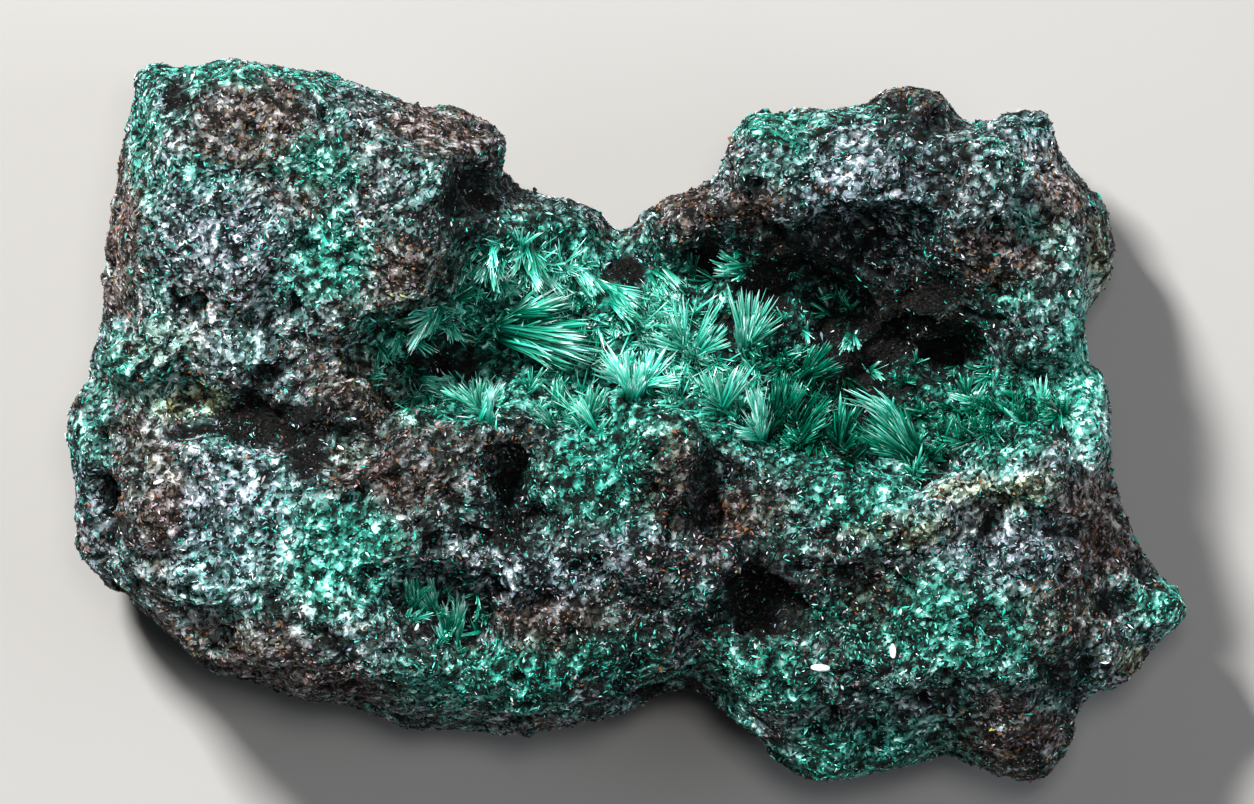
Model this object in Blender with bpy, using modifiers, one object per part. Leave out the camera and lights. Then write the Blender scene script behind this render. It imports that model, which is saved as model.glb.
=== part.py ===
"""Brochantite specimen: a broken lump of vein rock with an open vug of brochantite needles.

The specimen lies on its broken back with its crystals upwards. +Z is up, +X runs along the
specimen's length and +Y is the edge that is uppermost when it is shown standing. The origin is
at the middle of the surface that the specimen lies on. All lengths are in metres.
"""

import math
from collections import namedtuple

import bmesh
import bpy
import numpy as np
from mathutils import Vector, noise
from mathutils.bvhtree import BVHTree

# Driving dimensions
FACE_HEIGHT = 0.0262          # the broken front face above the surface that the back lies on
EDGE_HEIGHT = 0.0125          # the widest section of the lump
EDGE_HALF_THICKNESS = 0.0021  # half the thickness left right at the outline
FRONT_ROUNDING = 0.0062       # how far in from the outline the front face turns over
BACK_ROUNDING = 0.0125        # the same for the back
BACK_DEPTH = 0.0006           # the back's mean level: what is lower than zero is broken off flat
LEAST_THICKNESS = 0.0050
RIM_THICKNESS = 0.0010        # the least thickness right at the outline

# An uneven surface: its height, the size of its waves or facets, and its place in the noise
Relief = namedtuple("Relief", "height size seed")
EDGE_WAVES = Relief(0.0035, 0.020, 4.7)
BACK_WAVES = Relief(0.0034, 0.019, 9.2)
FRACTURES = [Relief(0.0020, 0.0090, 1.3), Relief(0.0010, 0.0040, 6.1)]
FACET_TILT = 2.2              # how steeply a facet leans, for its height
FACET_STEP = 0.8              # how far its middle stands out, for its height
FACING_SEED, STEP_SEED = 3.71, 5.3
OUTLINE_CALM = 0.30           # the share of the fractures' height that is left at the outline
CALM_REACH = 0.0035
FRACTURE_SEED = 11

# The share of a feature's reach that is flat, before it slopes away
BLOCK_CORE = 0.55
STEP_CORE = 0.30
VUG_CORE = 0.42
PIT_CORE = 0.25

ROCK_VOXEL = 0.00105
ROCK_TRIANGLES = 5300
CRUST_CELL = 0.0016
CRUST_THICKNESS = 0.0009
CRUST_GAP = 0.00040           # clearance between the crust and the rock that it lines
CRUST_MARGIN = 0.0018         # how far the crust stays in from the outline
RIM_SMOOTHINGS = 3
GRID_WANDER = 0.30            # how far the crust's corners stray, in cells
WANDER_SCALE = 1300
LIFT_STEP = 0.00012
LIFT_STEPS = 30
DRAW_BACKS = 14
ROOT_PATCH = 0.0017           # how far the crust reaches round a spray's root
PATCH_GROWTH = 0.16           # how much of a spray's reach is added to that
FEWEST_BLADES = 4             # how many blades even the smallest spray has
REACH_PER_BLADE = 0.0011      # and one more for each of these lengths
SHORTER_OUTSIDE = 0.45        # how much shorter the outermost blades are
LEAST_RISE = 0.12             # faces of the crust that are steeper than this grow nothing
BLADE_INSET = 0.45            # how much of a face stays as crust round the blade drawn from it
CEILING = 0.0300              # no blade rises higher than this
LEAST_LEAN = 0.30             # least cosine between a blade and the normal of its face
TURN_STEP = 0.25              # how far a blade is turned towards the normal at a time
RISES = (0.0, 0.2, 0.45, 0.8)  # how far a blade may be turned upwards to find a free way
ROOT_CLEARANCE = 0.00015
FREE_SHARE = 0.85             # how much of a free way a blade fills
SHORTEST_BLADE = 0.0002
DRAW_BACK = 0.7               # what is left of a blade each time that it is shortened
GRIT = 0.0011                 # the small crystals between the sprays
GRIT_LEAST, GRIT_VARIES = 0.6, 0.9
GRIT_LEAN = 0.45
GRIT_LENGTH_SCALE, GRIT_LEAN_SCALE = 700, 900

ROCK_COLOUR = (0.060, 0.085, 0.078, 1.0)
CRYSTAL_COLOUR = (0.010, 0.240, 0.150, 1.0)
ROCK_ROUGHNESS, CRYSTAL_ROUGHNESS = 0.75, 0.30

# The broken outline, clockwise from the west side, as the stretches that it falls into
WEST_SIDE = [
    (-0.0422, 0.0081), (-0.0418, 0.0146), (-0.0407, 0.0194), (-0.0399, 0.0238), (-0.0390, 0.0279),
]
NORTH_WEST_EDGE = [
    (-0.0379, 0.0286), (-0.0355, 0.0281), (-0.0308, 0.0291), (-0.0270, 0.0281), (-0.0233, 0.0277),
    (-0.0190, 0.0262), (-0.0145, 0.0242), (-0.0109, 0.0233), (-0.0101, 0.0217), (-0.0108, 0.0187),
]
NOTCH = [
    (-0.0090, 0.0183), (-0.0050, 0.0178), (-0.0022, 0.0164), (-0.0004, 0.0143), (0.0012, 0.0164),
    (0.0035, 0.0185), (0.0060, 0.0186), (0.0073, 0.0203), (0.0084, 0.0231),
]
NORTH_EAST_EDGE = [
    (0.0096, 0.0249), (0.0128, 0.0248), (0.0165, 0.0247), (0.0192, 0.0249), (0.0204, 0.0261),
    (0.0236, 0.0270), (0.0259, 0.0257), (0.0263, 0.0235), (0.0290, 0.0238), (0.0316, 0.0246),
    (0.0340, 0.0244), (0.0345, 0.0224), (0.0363, 0.0194), (0.0384, 0.0170), (0.0394, 0.0140),
    (0.0392, 0.0112), (0.0371, 0.0095),
]
EAST_SIDE = [
    (0.0366, 0.0060), (0.0380, 0.0022), (0.0388, -0.0010), (0.0386, -0.0048), (0.0402, -0.0084),
    (0.0428, -0.0121), (0.0450, -0.0148), (0.0436, -0.0170), (0.0408, -0.0200), (0.0403, -0.0214),
    (0.0368, -0.0219), (0.0361, -0.0240),
]
SOUTH_EAST_LOBE = [
    (0.0352, -0.0269), (0.0322, -0.0291), (0.0291, -0.0279), (0.0254, -0.0265), (0.0218, -0.0279),
    (0.0180, -0.0289), (0.0148, -0.0289), (0.0120, -0.0268), (0.0090, -0.0239),
]
UNDERSIDE = [
    (0.0060, -0.0215), (0.0030, -0.0215), (-0.0010, -0.0234), (-0.0055, -0.0247),
    (-0.0087, -0.0256), (-0.0125, -0.0244), (-0.0180, -0.0243), (-0.0213, -0.0229),
]
SOUTH_WEST_EDGE = [
    (-0.0266, -0.0224), (-0.0310, -0.0209), (-0.0357, -0.0184), (-0.0383, -0.0159),
    (-0.0423, -0.0126), (-0.0443, -0.0099), (-0.0440, -0.0056), (-0.0449, -0.0018),
    (-0.0448, 0.0016), (-0.0432, 0.0034), (-0.0433, 0.0052),
]
OUTLINE = (
    WEST_SIDE + NORTH_WEST_EDGE + NOTCH + NORTH_EAST_EDGE + EAST_SIDE
    + SOUTH_EAST_LOBE + UNDERSIDE + SOUTH_WEST_EDGE
)

# A feature of the front face: everything within reach of the line from start to end rises by
# rise, or sinks where rise is negative
Feature = namedtuple("Feature", "name start end reach rise")
BLOCKS = [
    Feature("north west block", (-0.0353, 0.0218), (-0.0160, 0.0137), 0.0125, 0.0042),
    Feature("its broken east end", (-0.0165, 0.0218), (-0.0122, 0.0212), 0.0036, 0.0016),
    Feature("south west block", (-0.0321, -0.0100), (-0.0168, -0.0110), 0.0110, 0.0026),
    Feature("crown of the east lobe", (0.0106, 0.0218), (0.0259, 0.0218), 0.0056, 0.0022),
    Feature("spur between vug and slot", (0.0021, -0.0012), (0.0049, -0.0052), 0.0026, 0.0034),
    Feature("ledge under the vug", (-0.0190, -0.0016), (-0.0108, -0.0018), 0.0022, 0.0022),
    Feature("middle ridge", (-0.0071, -0.0104), (0.0074, -0.0112), 0.0029, 0.0022),
    Feature("pale lip", (0.0178, -0.0100), (0.0331, -0.0036), 0.0022, 0.0018),
    Feature("east rim", (0.0350, 0.0080), (0.0375, 0.0000), 0.0022, 0.0018),
    Feature("south east rib", (0.0190, -0.0200), (0.0330, -0.0130), 0.0050, 0.0014),
]
STEPS_DOWN = [
    Feature("west margin", (-0.0432, 0.0050), (-0.0432, -0.0130), 0.0044, -0.0085),
    Feature("rim at the notch", (-0.0085, 0.0172), (-0.0020, 0.0160), 0.0034, -0.0070),
    Feature("east knob", (0.0386, 0.0155), (0.0384, 0.0105), 0.0030, -0.0085),
    Feature("far east slope", (0.0405, -0.0100), (0.0440, -0.0180), 0.0085, -0.0060),
    Feature("south lobe slope", (0.0154, -0.0272), (0.0331, -0.0275), 0.0080, -0.0055),
    Feature("north east corner", (0.0318, 0.0225), (0.0345, 0.0150), 0.0050, -0.0030),
    Feature("east hollow", (0.0162, 0.0137), (0.0267, 0.0073), 0.0066, -0.0055),
]
VUG = [
    Feature("west chamber", (-0.0184, 0.0042), (-0.0115, 0.0049), 0.0052, -0.0110),
    Feature("roof chamber", (-0.0111, 0.0108), (-0.0023, 0.0102), 0.0050, -0.0085),
    Feature("middle chamber", (-0.0055, 0.0056), (0.0090, 0.0046), 0.0068, -0.0095),
    Feature("north chamber", (0.0049, 0.0106), (0.0154, 0.0081), 0.0060, -0.0105),
    Feature("gate to the notch", (-0.0003, 0.0141), (0.0013, 0.0105), 0.0032, -0.0110),
    Feature("east chamber", (0.0130, 0.0018), (0.0259, 0.0014), 0.0066, -0.0100),
    Feature("star pocket", (0.0275, 0.0018), (0.0339, 0.0014), 0.0042, -0.0060),
]
POCKET = [
    Feature("south west pocket", (-0.0182, -0.0138), (-0.0127, -0.0166), 0.0040, -0.0070),
]
PITS = [
    Feature("west slot", (-0.0103, -0.0028), (-0.0071, -0.0096), 0.0021, -0.0070),
    Feature("middle slot", (0.0051, -0.0044), (0.0067, -0.0090), 0.0020, -0.0060),
    Feature("south hollow", (0.0090, -0.0136), (0.0130, -0.0160), 0.0034, -0.0060),
    Feature("second south hollow", (0.0178, -0.0136), (0.0202, -0.0177), 0.0028, -0.0034),
    Feature("north west pit", (-0.0357, 0.0254), (-0.0353, 0.0243), 0.0013, -0.0034),
    Feature("upper pit", (-0.0295, 0.0192), (-0.0244, 0.0171), 0.0017, -0.0028),
    Feature("inner pit", (-0.0206, 0.0127), (-0.0196, 0.0097), 0.0018, -0.0034),
    Feature("crack between the blocks", (-0.0357, 0.0021), (-0.0196, -0.0024), 0.0019, -0.0048),
    Feature("east pit", (0.0325, 0.0168), (0.0329, 0.0160), 0.0017, -0.0040),
    Feature("south east slot", (0.0367, -0.0144), (0.0419, -0.0148), 0.0016, -0.0036),
    Feature("south east pit", (0.0331, -0.0193), (0.0339, -0.0225), 0.0018, -0.0030),
    Feature("arch of the underside", (0.0009, -0.0226), (0.0066, -0.0221), 0.0030, -0.0080),
    Feature("west slot of the margin", (-0.0415, -0.0056), (-0.0401, -0.0108), 0.0011, -0.0036),
    Feature("under the north west block", (-0.0118, 0.0195), (-0.0098, 0.0186), 0.0018, -0.0050),
]

# A spray of needles: its root on the crust, the bearing of its axis in plan and its climb out
# of the crust in degrees, the reach of its longest needles, and the half angle that it fills
Spray = namedtuple("Spray", "name x y bearing climb reach spread")
VUG_SPRAYS = [
    Spray("great fan, lower half", -0.0101, 0.0072, -14, 22, 0.0095, 24),
    Spray("great fan, upper half", -0.0105, 0.0078, 12, 24, 0.0084, 20),
    Spray("white burst", 0.0003, 0.0023, 118, 46, 0.0050, 30),
    Spray("white burst, right", 0.0009, 0.0026, 55, 46, 0.0045, 30),
    Spray("centre south", -0.0029, -0.0005, 100, 40, 0.0045, 34),
    Spray("west ledge, left", -0.0116, 0.0006, 118, 38, 0.0042, 26),
    Spray("west ledge, right", -0.0115, 0.0007, 62, 38, 0.0047, 18),
    Spray("pale fan of the west chamber", -0.0150, 0.0084, -155, 28, 0.0047, 38),
    Spray("west chamber floor", -0.0166, 0.0026, -45, 30, 0.0032, 40),
    Spray("roof, first tuft", -0.0110, 0.0133, -98, 34, 0.0040, 34),
    Spray("roof, second tuft", -0.0079, 0.0133, -90, 34, 0.0047, 34),
    Spray("roof, third tuft", -0.0045, 0.0123, -80, 34, 0.0042, 34),
    Spray("roof, fourth tuft", -0.0018, 0.0111, -40, 30, 0.0056, 26),
    Spray("crossed needles, left", 0.0048, 0.0055, 140, 42, 0.0056, 40),
    Spray("crossed needles, right", 0.0053, 0.0057, 50, 42, 0.0050, 40),
    Spray("gate needles", 0.0024, 0.0118, -52, 30, 0.0037, 14),
    Spray("north of the spur", 0.0075, 0.0008, 108, 42, 0.0061, 30),
    Spray("tall white needles", 0.0109, -0.0014, 97, 38, 0.0060, 16),
    Spray("pale fan above the spur", 0.0107, -0.0012, 128, 40, 0.0063, 28),
    Spray("north shelf, left", 0.0091, 0.0118, 160, 34, 0.0037, 34),
    Spray("north shelf, middle", 0.0096, 0.0057, 68, 34, 0.0058, 26),
    Spray("white tuft", 0.0103, 0.0060, 96, 40, 0.0027, 20),
    Spray("north shelf, right", 0.0138, 0.0034, 52, 34, 0.0053, 22),
    Spray("green fan, left", 0.0119, -0.0014, 66, 32, 0.0074, 22),
    Spray("green fan, right", 0.0127, -0.0018, 38, 30, 0.0074, 22),
    Spray("east fan", 0.0167, -0.0022, 84, 36, 0.0051, 30),
    Spray("emerald book", 0.0236, -0.0030, 128, 30, 0.0079, 14),
    Spray("emerald book, low", 0.0233, -0.0032, 146, 28, 0.0068, 12),
    Spray("long needles", 0.0220, 0.0000, 152, 30, 0.0068, 8),
    Spray("west star", 0.0279, 0.0015, 90, 24, 0.0032, 70),
    Spray("east star", 0.0329, 0.0010, 90, 24, 0.0032, 70),
    Spray("lone tuft", 0.0180, 0.0068, -112, 40, 0.0035, 44),
    Spray("south crust", -0.0055, 0.0003, 112, 40, 0.0039, 34),
]
POCKET_SPRAYS = [
    Spray("pocket fan", -0.0146, -0.0172, 104, 42, 0.0039, 36),
    Spray("pocket needles", -0.0136, -0.0167, 92, 34, 0.0055, 12),
    Spray("pocket, west", -0.0172, -0.0150, 74, 36, 0.0037, 34),
    Spray("pocket, middle", -0.0155, -0.0150, 120, 36, 0.0035, 34),
]


# A hollow with crystals: the crust lines what is sunk by more than share of its depth
Hollow = namedtuple("Hollow", "name features sprays share")
HOLLOWS = [
    Hollow("vug_crystal_crust", VUG, VUG_SPRAYS, 0.50),
    Hollow("pocket_crystal_crust", POCKET, POCKET_SPRAYS, 0.62),
]


def clear_scene():
    for obj in list(bpy.data.objects):
        bpy.data.objects.remove(obj)


def mineral(name, colour, roughness):
    material = bpy.data.materials.new(name)
    material.use_nodes = True
    shader = material.node_tree.nodes["Principled BSDF"]
    shader.inputs["Base Color"].default_value = colour
    shader.inputs["Roughness"].default_value = roughness
    return material


def as_mesh_object(name, obj, collection):
    """A new object holding what obj's modifiers or curve make, and obj is removed."""
    graph = bpy.context.evaluated_depsgraph_get()
    mesh = bpy.data.meshes.new_from_object(obj.evaluated_get(graph))
    made = bpy.data.objects.new(name, mesh)
    made.matrix_world = obj.matrix_world
    collection.objects.link(made)
    bpy.data.objects.remove(obj)
    return made


def edit(obj, work, *details):
    """Runs work(bmesh, *details) on obj's mesh."""
    mesh = bmesh.new()
    mesh.from_mesh(obj.data)
    work(mesh, *details)
    mesh.to_mesh(obj.data)
    mesh.free()


def voxel_remesh(name, obj, size, collection):
    modifier = obj.modifiers.new("even faces", "REMESH")
    modifier.mode = "VOXEL"
    modifier.voxel_size = size
    return as_mesh_object(name, obj, collection)


def smooth_step(low, high, value):
    share = np.clip((value - low) / (high - low), 0.0, 1.0)
    return share * share * (3.0 - 2.0 * share)


def distance_to_line(points, start, end):
    """Distance in plan from each point to the straight line from start to end."""
    start, end = np.array(start), np.array(end)
    along = end - start
    share = np.clip((points - start) @ along / max(along @ along, 1e-12), 0.0, 1.0)
    return np.linalg.norm(points - start - share[:, None] * along, axis=1)


def distance_to_outline(points):
    ends = OUTLINE[1:] + OUTLINE[:1]
    sides = [distance_to_line(points, start, end) for start, end in zip(OUTLINE, ends)]
    return np.min(sides, axis=0)


def slope(points, feature, core):
    """1 in the feature's core, falling smoothly to 0 at its reach."""
    distance = distance_to_line(points, feature.start, feature.end)
    return 1.0 - smooth_step(core * feature.reach, feature.reach, distance)


def deepest(points, features, core):
    """How far the deepest of these hollows sinks the face at each point."""
    return np.min([f.rise * slope(points, f, core) for f in features], axis=0)


def face_heights(points):
    """The front face over each point in plan, before the outline rounds it off."""
    heights = np.full(len(points), FACE_HEIGHT)
    for block in BLOCKS:
        heights += block.rise * slope(points, block, core=BLOCK_CORE)
    for step in STEPS_DOWN:
        heights += step.rise * slope(points, step, core=STEP_CORE)
    heights += deepest(points, VUG, core=VUG_CORE)
    heights += deepest(points, POCKET + PITS, core=PIT_CORE)
    return heights


def rolling(points, waves):
    """The height of smooth waves over each point in plan."""
    places = [Vector((x / waves.size, y / waves.size, waves.seed)) for x, y in points]
    return waves.height * np.array([noise.noise(place) for place in places])


def rounded(distance, rounding):
    share = np.clip(distance / rounding, 0.0, 1.0)
    return np.sqrt(1.0 - (1.0 - share) ** 2)


def shape_lump(mesh):
    """Moves a flat slab's two faces out to the specimen's front and its rough back."""
    places = np.array([vert.co for vert in mesh.verts])
    plan = places[:, :2]
    share = np.clip(places[:, 2] / (2 * EDGE_HALF_THICKNESS) + 0.5, 0.0, 1.0)
    inside = distance_to_outline(plan)
    edge = EDGE_HEIGHT + rolling(plan, EDGE_WAVES)
    upper_edge, lower_edge = edge + EDGE_HALF_THICKNESS, edge - EDGE_HALF_THICKNESS
    back = BACK_DEPTH + rolling(plan, BACK_WAVES)
    low = lower_edge + (back - lower_edge) * rounded(inside, BACK_ROUNDING)
    high = upper_edge + (face_heights(plan) - upper_edge) * rounded(inside, FRONT_ROUNDING)
    least = LEAST_THICKNESS * rounded(inside, FRONT_ROUNDING) + RIM_THICKNESS
    high = np.maximum(high, low + least)
    for vert, height in zip(mesh.verts, low + (high - low) * share):
        vert.co.z = height


def broken_facet(place, fracture):
    """Height of a fracture surface at a place: each cell of it is its own tilted flat."""
    scaled = place / fracture.size + Vector((fracture.seed,) * 3)
    centre = noise.voronoi(scaled)[1][0]
    facing = noise.noise_vector(centre * FACING_SEED)
    lift = facing.dot(scaled - centre) * FACET_TILT
    lift += noise.noise(centre * STEP_SEED) * FACET_STEP
    return fracture.height * lift


def break_surface(mesh):
    """Breaks the smooth lump into flats, ledges and grit, less so right at the outline."""
    mesh.normal_update()
    plan = np.array([vert.co[:2] for vert in mesh.verts])
    inside = smooth_step(0.0, CALM_REACH, distance_to_outline(plan))
    strength = OUTLINE_CALM + (1.0 - OUTLINE_CALM) * inside
    lifts = []
    for vert, share in zip(mesh.verts, strength):
        lifts.append(share * sum(broken_facet(vert.co, fracture) for fracture in FRACTURES))
    for vert, lift in zip(mesh.verts, lifts):
        vert.co += vert.normal * lift


def rest_on_ground(mesh):
    """Breaks off flat what is below the surface, which leaves the flats that it rests on."""
    everything = mesh.verts[:] + mesh.edges[:] + mesh.faces[:]
    cut = bmesh.ops.bisect_plane(
        mesh, geom=everything, plane_co=(0, 0, 0), plane_no=(0, 0, 1), clear_inner=True
    )
    rim = [part for part in cut["geom_cut"] if isinstance(part, bmesh.types.BMEdge)]
    bmesh.ops.triangle_fill(mesh, use_beauty=True, use_dissolve=False, edges=rim)
    bmesh.ops.recalc_face_normals(mesh, faces=mesh.faces)


def outline_slab(collection):
    """The outline as a thin slab about z = 0."""
    curve = bpy.data.curves.new("outline", "CURVE")
    curve.dimensions = "2D"
    curve.fill_mode = "BOTH"
    curve.extrude = EDGE_HALF_THICKNESS
    curve.resolution_u = 4
    spline = curve.splines.new("BEZIER")
    spline.bezier_points.add(len(OUTLINE) - 1)
    for point, (x, y) in zip(spline.bezier_points, OUTLINE):
        point.co = (x, y, 0.0)
        point.handle_left_type = point.handle_right_type = "AUTO"
    spline.use_cyclic_u = True
    obj = bpy.data.objects.new("outline", curve)
    collection.objects.link(obj)
    slab = as_mesh_object("slab", obj, collection)
    edit(slab, lambda mesh: bmesh.ops.remove_doubles(mesh, verts=mesh.verts, dist=1e-6))
    return slab


def make_matrix(collection, material):
    """The rock that carries the crystals."""
    lump = voxel_remesh("lump", outline_slab(collection), ROCK_VOXEL, collection)
    edit(lump, shape_lump)
    lump = voxel_remesh("even lump", lump, ROCK_VOXEL, collection)
    edit(lump, break_surface)
    thinned = lump.modifiers.new("fewer faces", "DECIMATE")
    faces = sum(len(polygon.vertices) - 2 for polygon in lump.data.polygons)
    thinned.ratio = ROCK_TRIANGLES / faces
    rock = as_mesh_object("matrix", lump, collection)
    edit(rock, rest_on_ground)
    rock.data.materials.append(material)
    return rock


def tree_of(obj):
    mesh = bmesh.new()
    mesh.from_mesh(obj.data)
    tree = BVHTree.FromBMesh(mesh)
    mesh.free()
    return tree


def surface_below(tree, x, y):
    """The rock's front surface straight below a point that is well above it."""
    return tree.ray_cast(Vector((x, y, 1.0)), Vector((0, 0, -1)))[0]


def footprint(hollow):
    """A flat mesh over the floor of a hollow and round the roots of its sprays."""
    reach = max(f.reach for f in hollow.features)
    ends = np.array([end for f in hollow.features for end in (f.start, f.end)])
    low, high = ends.min(axis=0) - reach, ends.max(axis=0) + reach
    middle, size = (low + high) / 2, high - low
    counts = np.ceil(size / CRUST_CELL).astype(int)
    mesh = bmesh.new()
    bmesh.ops.create_grid(mesh, x_segments=counts[0], y_segments=counts[1], size=0.5)
    bmesh.ops.scale(mesh, verts=mesh.verts, vec=(size[0], size[1], 1.0))
    bmesh.ops.translate(mesh, verts=mesh.verts, vec=(middle[0], middle[1], 0.0))
    centres = np.array([face.calc_center_median()[:2] for face in mesh.faces])
    shallow = hollow.share * min(f.rise for f in hollow.features)
    bare = deepest(centres, hollow.features, core=VUG_CORE) > shallow
    bare &= to_nearest_root(centres, hollow.sprays) > ROOT_PATCH
    bare |= distance_to_outline(centres) < CRUST_MARGIN
    outside = [face for face, is_bare in zip(mesh.faces, bare) if is_bare]
    bmesh.ops.delete(mesh, geom=outside, context="FACES")
    return mesh


def drape(mesh, rock_tree):
    """Lays the flat mesh on the rock with an uneven grid and a rounded rim."""
    rim = [vert for vert in mesh.verts if vert.is_boundary]
    for _ in range(RIM_SMOOTHINGS):
        bmesh.ops.smooth_vert(mesh, verts=rim, factor=0.5, use_axis_x=True, use_axis_y=True)
    for vert in mesh.verts:
        shift = noise.noise_vector(vert.co * WANDER_SCALE) * (GRID_WANDER * CRUST_CELL)
        vert.co += Vector((shift.x, shift.y, 0.0))
        vert.co.z = surface_below(rock_tree, vert.co.x, vert.co.y).z + CRUST_GAP
    bmesh.ops.triangulate(mesh, faces=mesh.faces)


def to_nearest_root(points, sprays):
    roots = np.array([(spray.x, spray.y) for spray in sprays])
    return np.linalg.norm(points[:, None] - roots[None], axis=2).min(axis=1)


def lift_clear(mesh, rock_tree):
    """Raises the faces that touch the rock, and drops those that a steep wall still catches."""
    for _ in range(LIFT_STEPS):
        for vert in {v for face in caught_faces(mesh, rock_tree) for v in face.verts}:
            vert.co.z += LIFT_STEP
    low = caught_faces(mesh, rock_tree)
    bmesh.ops.translate(mesh, verts=mesh.verts, vec=(0, 0, CRUST_THICKNESS))
    high = caught_faces(mesh, rock_tree)
    bmesh.ops.translate(mesh, verts=mesh.verts, vec=(0, 0, -CRUST_THICKNESS))
    bmesh.ops.delete(mesh, geom=list(set(low + high)), context="FACES")


def caught_faces(mesh, rock_tree):
    mesh.faces.ensure_lookup_table()
    pairs = BVHTree.FromBMesh(mesh).overlap(rock_tree)
    return [mesh.faces[index] for index in sorted({mine for mine, _ in pairs})]


def keep_main_body(mesh):
    """Drops what hangs on by a corner or not at all."""
    pinched = mesh.verts[:]
    while pinched:
        pinched = [v for v in mesh.verts if sum(e.is_boundary for e in v.link_edges) > 2]
        bmesh.ops.delete(mesh, geom=pinched, context="VERTS")
    waiting, bodies = set(mesh.verts), []
    while waiting:
        body, front = set(), [waiting.pop()]
        while front:
            vert = front.pop()
            body.add(vert)
            joined = {edge.other_vert(vert) for edge in vert.link_edges} & waiting
            waiting -= joined
            front.extend(joined)
        bodies.append(body)
    largest = max(bodies, key=len)
    bmesh.ops.delete(mesh, geom=[v for v in mesh.verts if v not in largest], context="VERTS")


def lining(hollow, rock_tree, collection):
    """A thin skin over the floor of a hollow and under its sprays, clear of the rock."""
    mesh = footprint(hollow)
    drape(mesh, rock_tree)
    lift_clear(mesh, rock_tree)
    keep_main_body(mesh)
    skin = bpy.data.meshes.new(hollow.name)
    mesh.to_mesh(skin)
    mesh.free()
    obj = bpy.data.objects.new(hollow.name, skin)
    collection.objects.link(obj)
    return obj


def thicken(mesh):
    """Gives the skin its thickness, straight upwards."""
    made = bmesh.ops.extrude_face_region(mesh, geom=mesh.faces[:])
    upper = [part for part in made["geom"] if isinstance(part, bmesh.types.BMVert)]
    bmesh.ops.translate(mesh, verts=upper, vec=(0, 0, CRUST_THICKNESS))
    bmesh.ops.recalc_face_normals(mesh, faces=mesh.faces)


def spray_axis(spray):
    bearing, climb = math.radians(spray.bearing), math.radians(spray.climb)
    return Vector((
        math.cos(bearing) * math.cos(climb), math.sin(bearing) * math.cos(climb), math.sin(climb)
    ))


def clear_way(root, aim, reach, trees):
    """How far a blade can grow from root along aim before it meets one of the trees."""
    start = root + aim * ROOT_CLEARANCE
    hits = [tree.ray_cast(start, aim, reach)[3] for tree in trees]
    stops = [FREE_SHARE * hit for hit in hits if hit is not None]
    if aim.z > 0:
        stops.append((CEILING - root.z) / aim.z)
    return max(SHORTEST_BLADE, min([reach] + stops))


def grow_blade(mesh, face, aim, reach, trees):
    """Draws one face of the crust out into a flat-sided blade."""
    normal, root = face.normal.copy(), face.calc_center_median()
    aim = aim.normalized()
    while aim.dot(normal) < LEAST_LEAN:
        aim = (aim + TURN_STEP * normal).normalized()
    tries = [(aim + Vector((0, 0, rise))).normalized() for rise in RISES]
    free, aim = max(((clear_way(root, way, reach, trees), way) for way in tries),
                    key=lambda found: (round(found[0] / reach, 1), found[1].dot(aim)))
    perimeter = sum(edge.calc_length() for edge in face.edges)
    inset = BLADE_INSET * 2.0 * face.calc_area() / perimeter
    bmesh.ops.inset_individual(mesh, faces=[face], thickness=inset)
    tip = bmesh.ops.poke(mesh, faces=[face])["verts"][0]
    tip.co = root + aim * free
    return tip, root


def grow_sprays(mesh, sprays, rock_tree, crust_tree):
    """Grows every spray from the crust's faces round its root, and grit on the faces between."""
    trees = (rock_tree, crust_tree)
    free = [face for face in mesh.faces if face.normal.z > LEAST_RISE]
    free.sort(key=lambda face: face.calc_center_median()[:])
    wanted = []
    for spray in sprays:
        patch = ROOT_PATCH + PATCH_GROWTH * spray.reach
        count = FEWEST_BLADES + round(spray.reach / REACH_PER_BLADE)
        foot = np.array((spray.x, spray.y))
        near = [(np.linalg.norm(foot - f.calc_center_median()[:2]), n) for n, f in enumerate(free)]
        near = [(gap, number) for gap, number in sorted(near) if gap < patch][:count]
        if not near:
            raise RuntimeError("the spray '" + spray.name + "' has no crust under its root")
        axis = spray_axis(spray)
        taken = {number for _, number in near}
        for gap, number in near:
            centre = free[number].calc_center_median()
            away = Vector((centre.x - spray.x, centre.y - spray.y, 0.0)).normalized()
            side = (away - axis * away.dot(axis)).normalized()
            fan = math.radians(spray.spread) * gap / patch
            aim = axis * math.cos(fan) + side * math.sin(fan)
            reach = spray.reach * (1.0 - SHORTER_OUTSIDE * gap / patch)
            wanted.append((free[number], aim, reach))
        free = [face for number, face in enumerate(free) if number not in taken]
    roots = dict(grow_blade(mesh, face, aim, reach, trees) for face, aim, reach in wanted)
    for face in free:
        centre, normal = face.calc_center_median(), face.normal.copy()
        length = GRIT_LEAST + GRIT_VARIES * abs(noise.noise(centre * GRIT_LENGTH_SCALE))
        reach = GRIT * length
        aim = (normal + GRIT_LEAN * noise.noise_vector(centre * GRIT_LEAN_SCALE)).normalized()
        tip = bmesh.ops.poke(mesh, faces=[face])["verts"][0]
        tip.co = centre + aim * clear_way(centre, aim, reach, trees)
        roots[tip] = centre
    bmesh.ops.triangulate(mesh, faces=mesh.faces)
    draw_back(mesh, roots, rock_tree)


def draw_back(mesh, roots, rock_tree):
    """Shortens the blades that cut into the rock."""
    for _ in range(DRAW_BACKS):
        caught = {v for face in caught_faces(mesh, rock_tree) for v in face.verts if v in roots}
        for tip in caught:
            tip.co = roots[tip].lerp(tip.co, DRAW_BACK)


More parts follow.
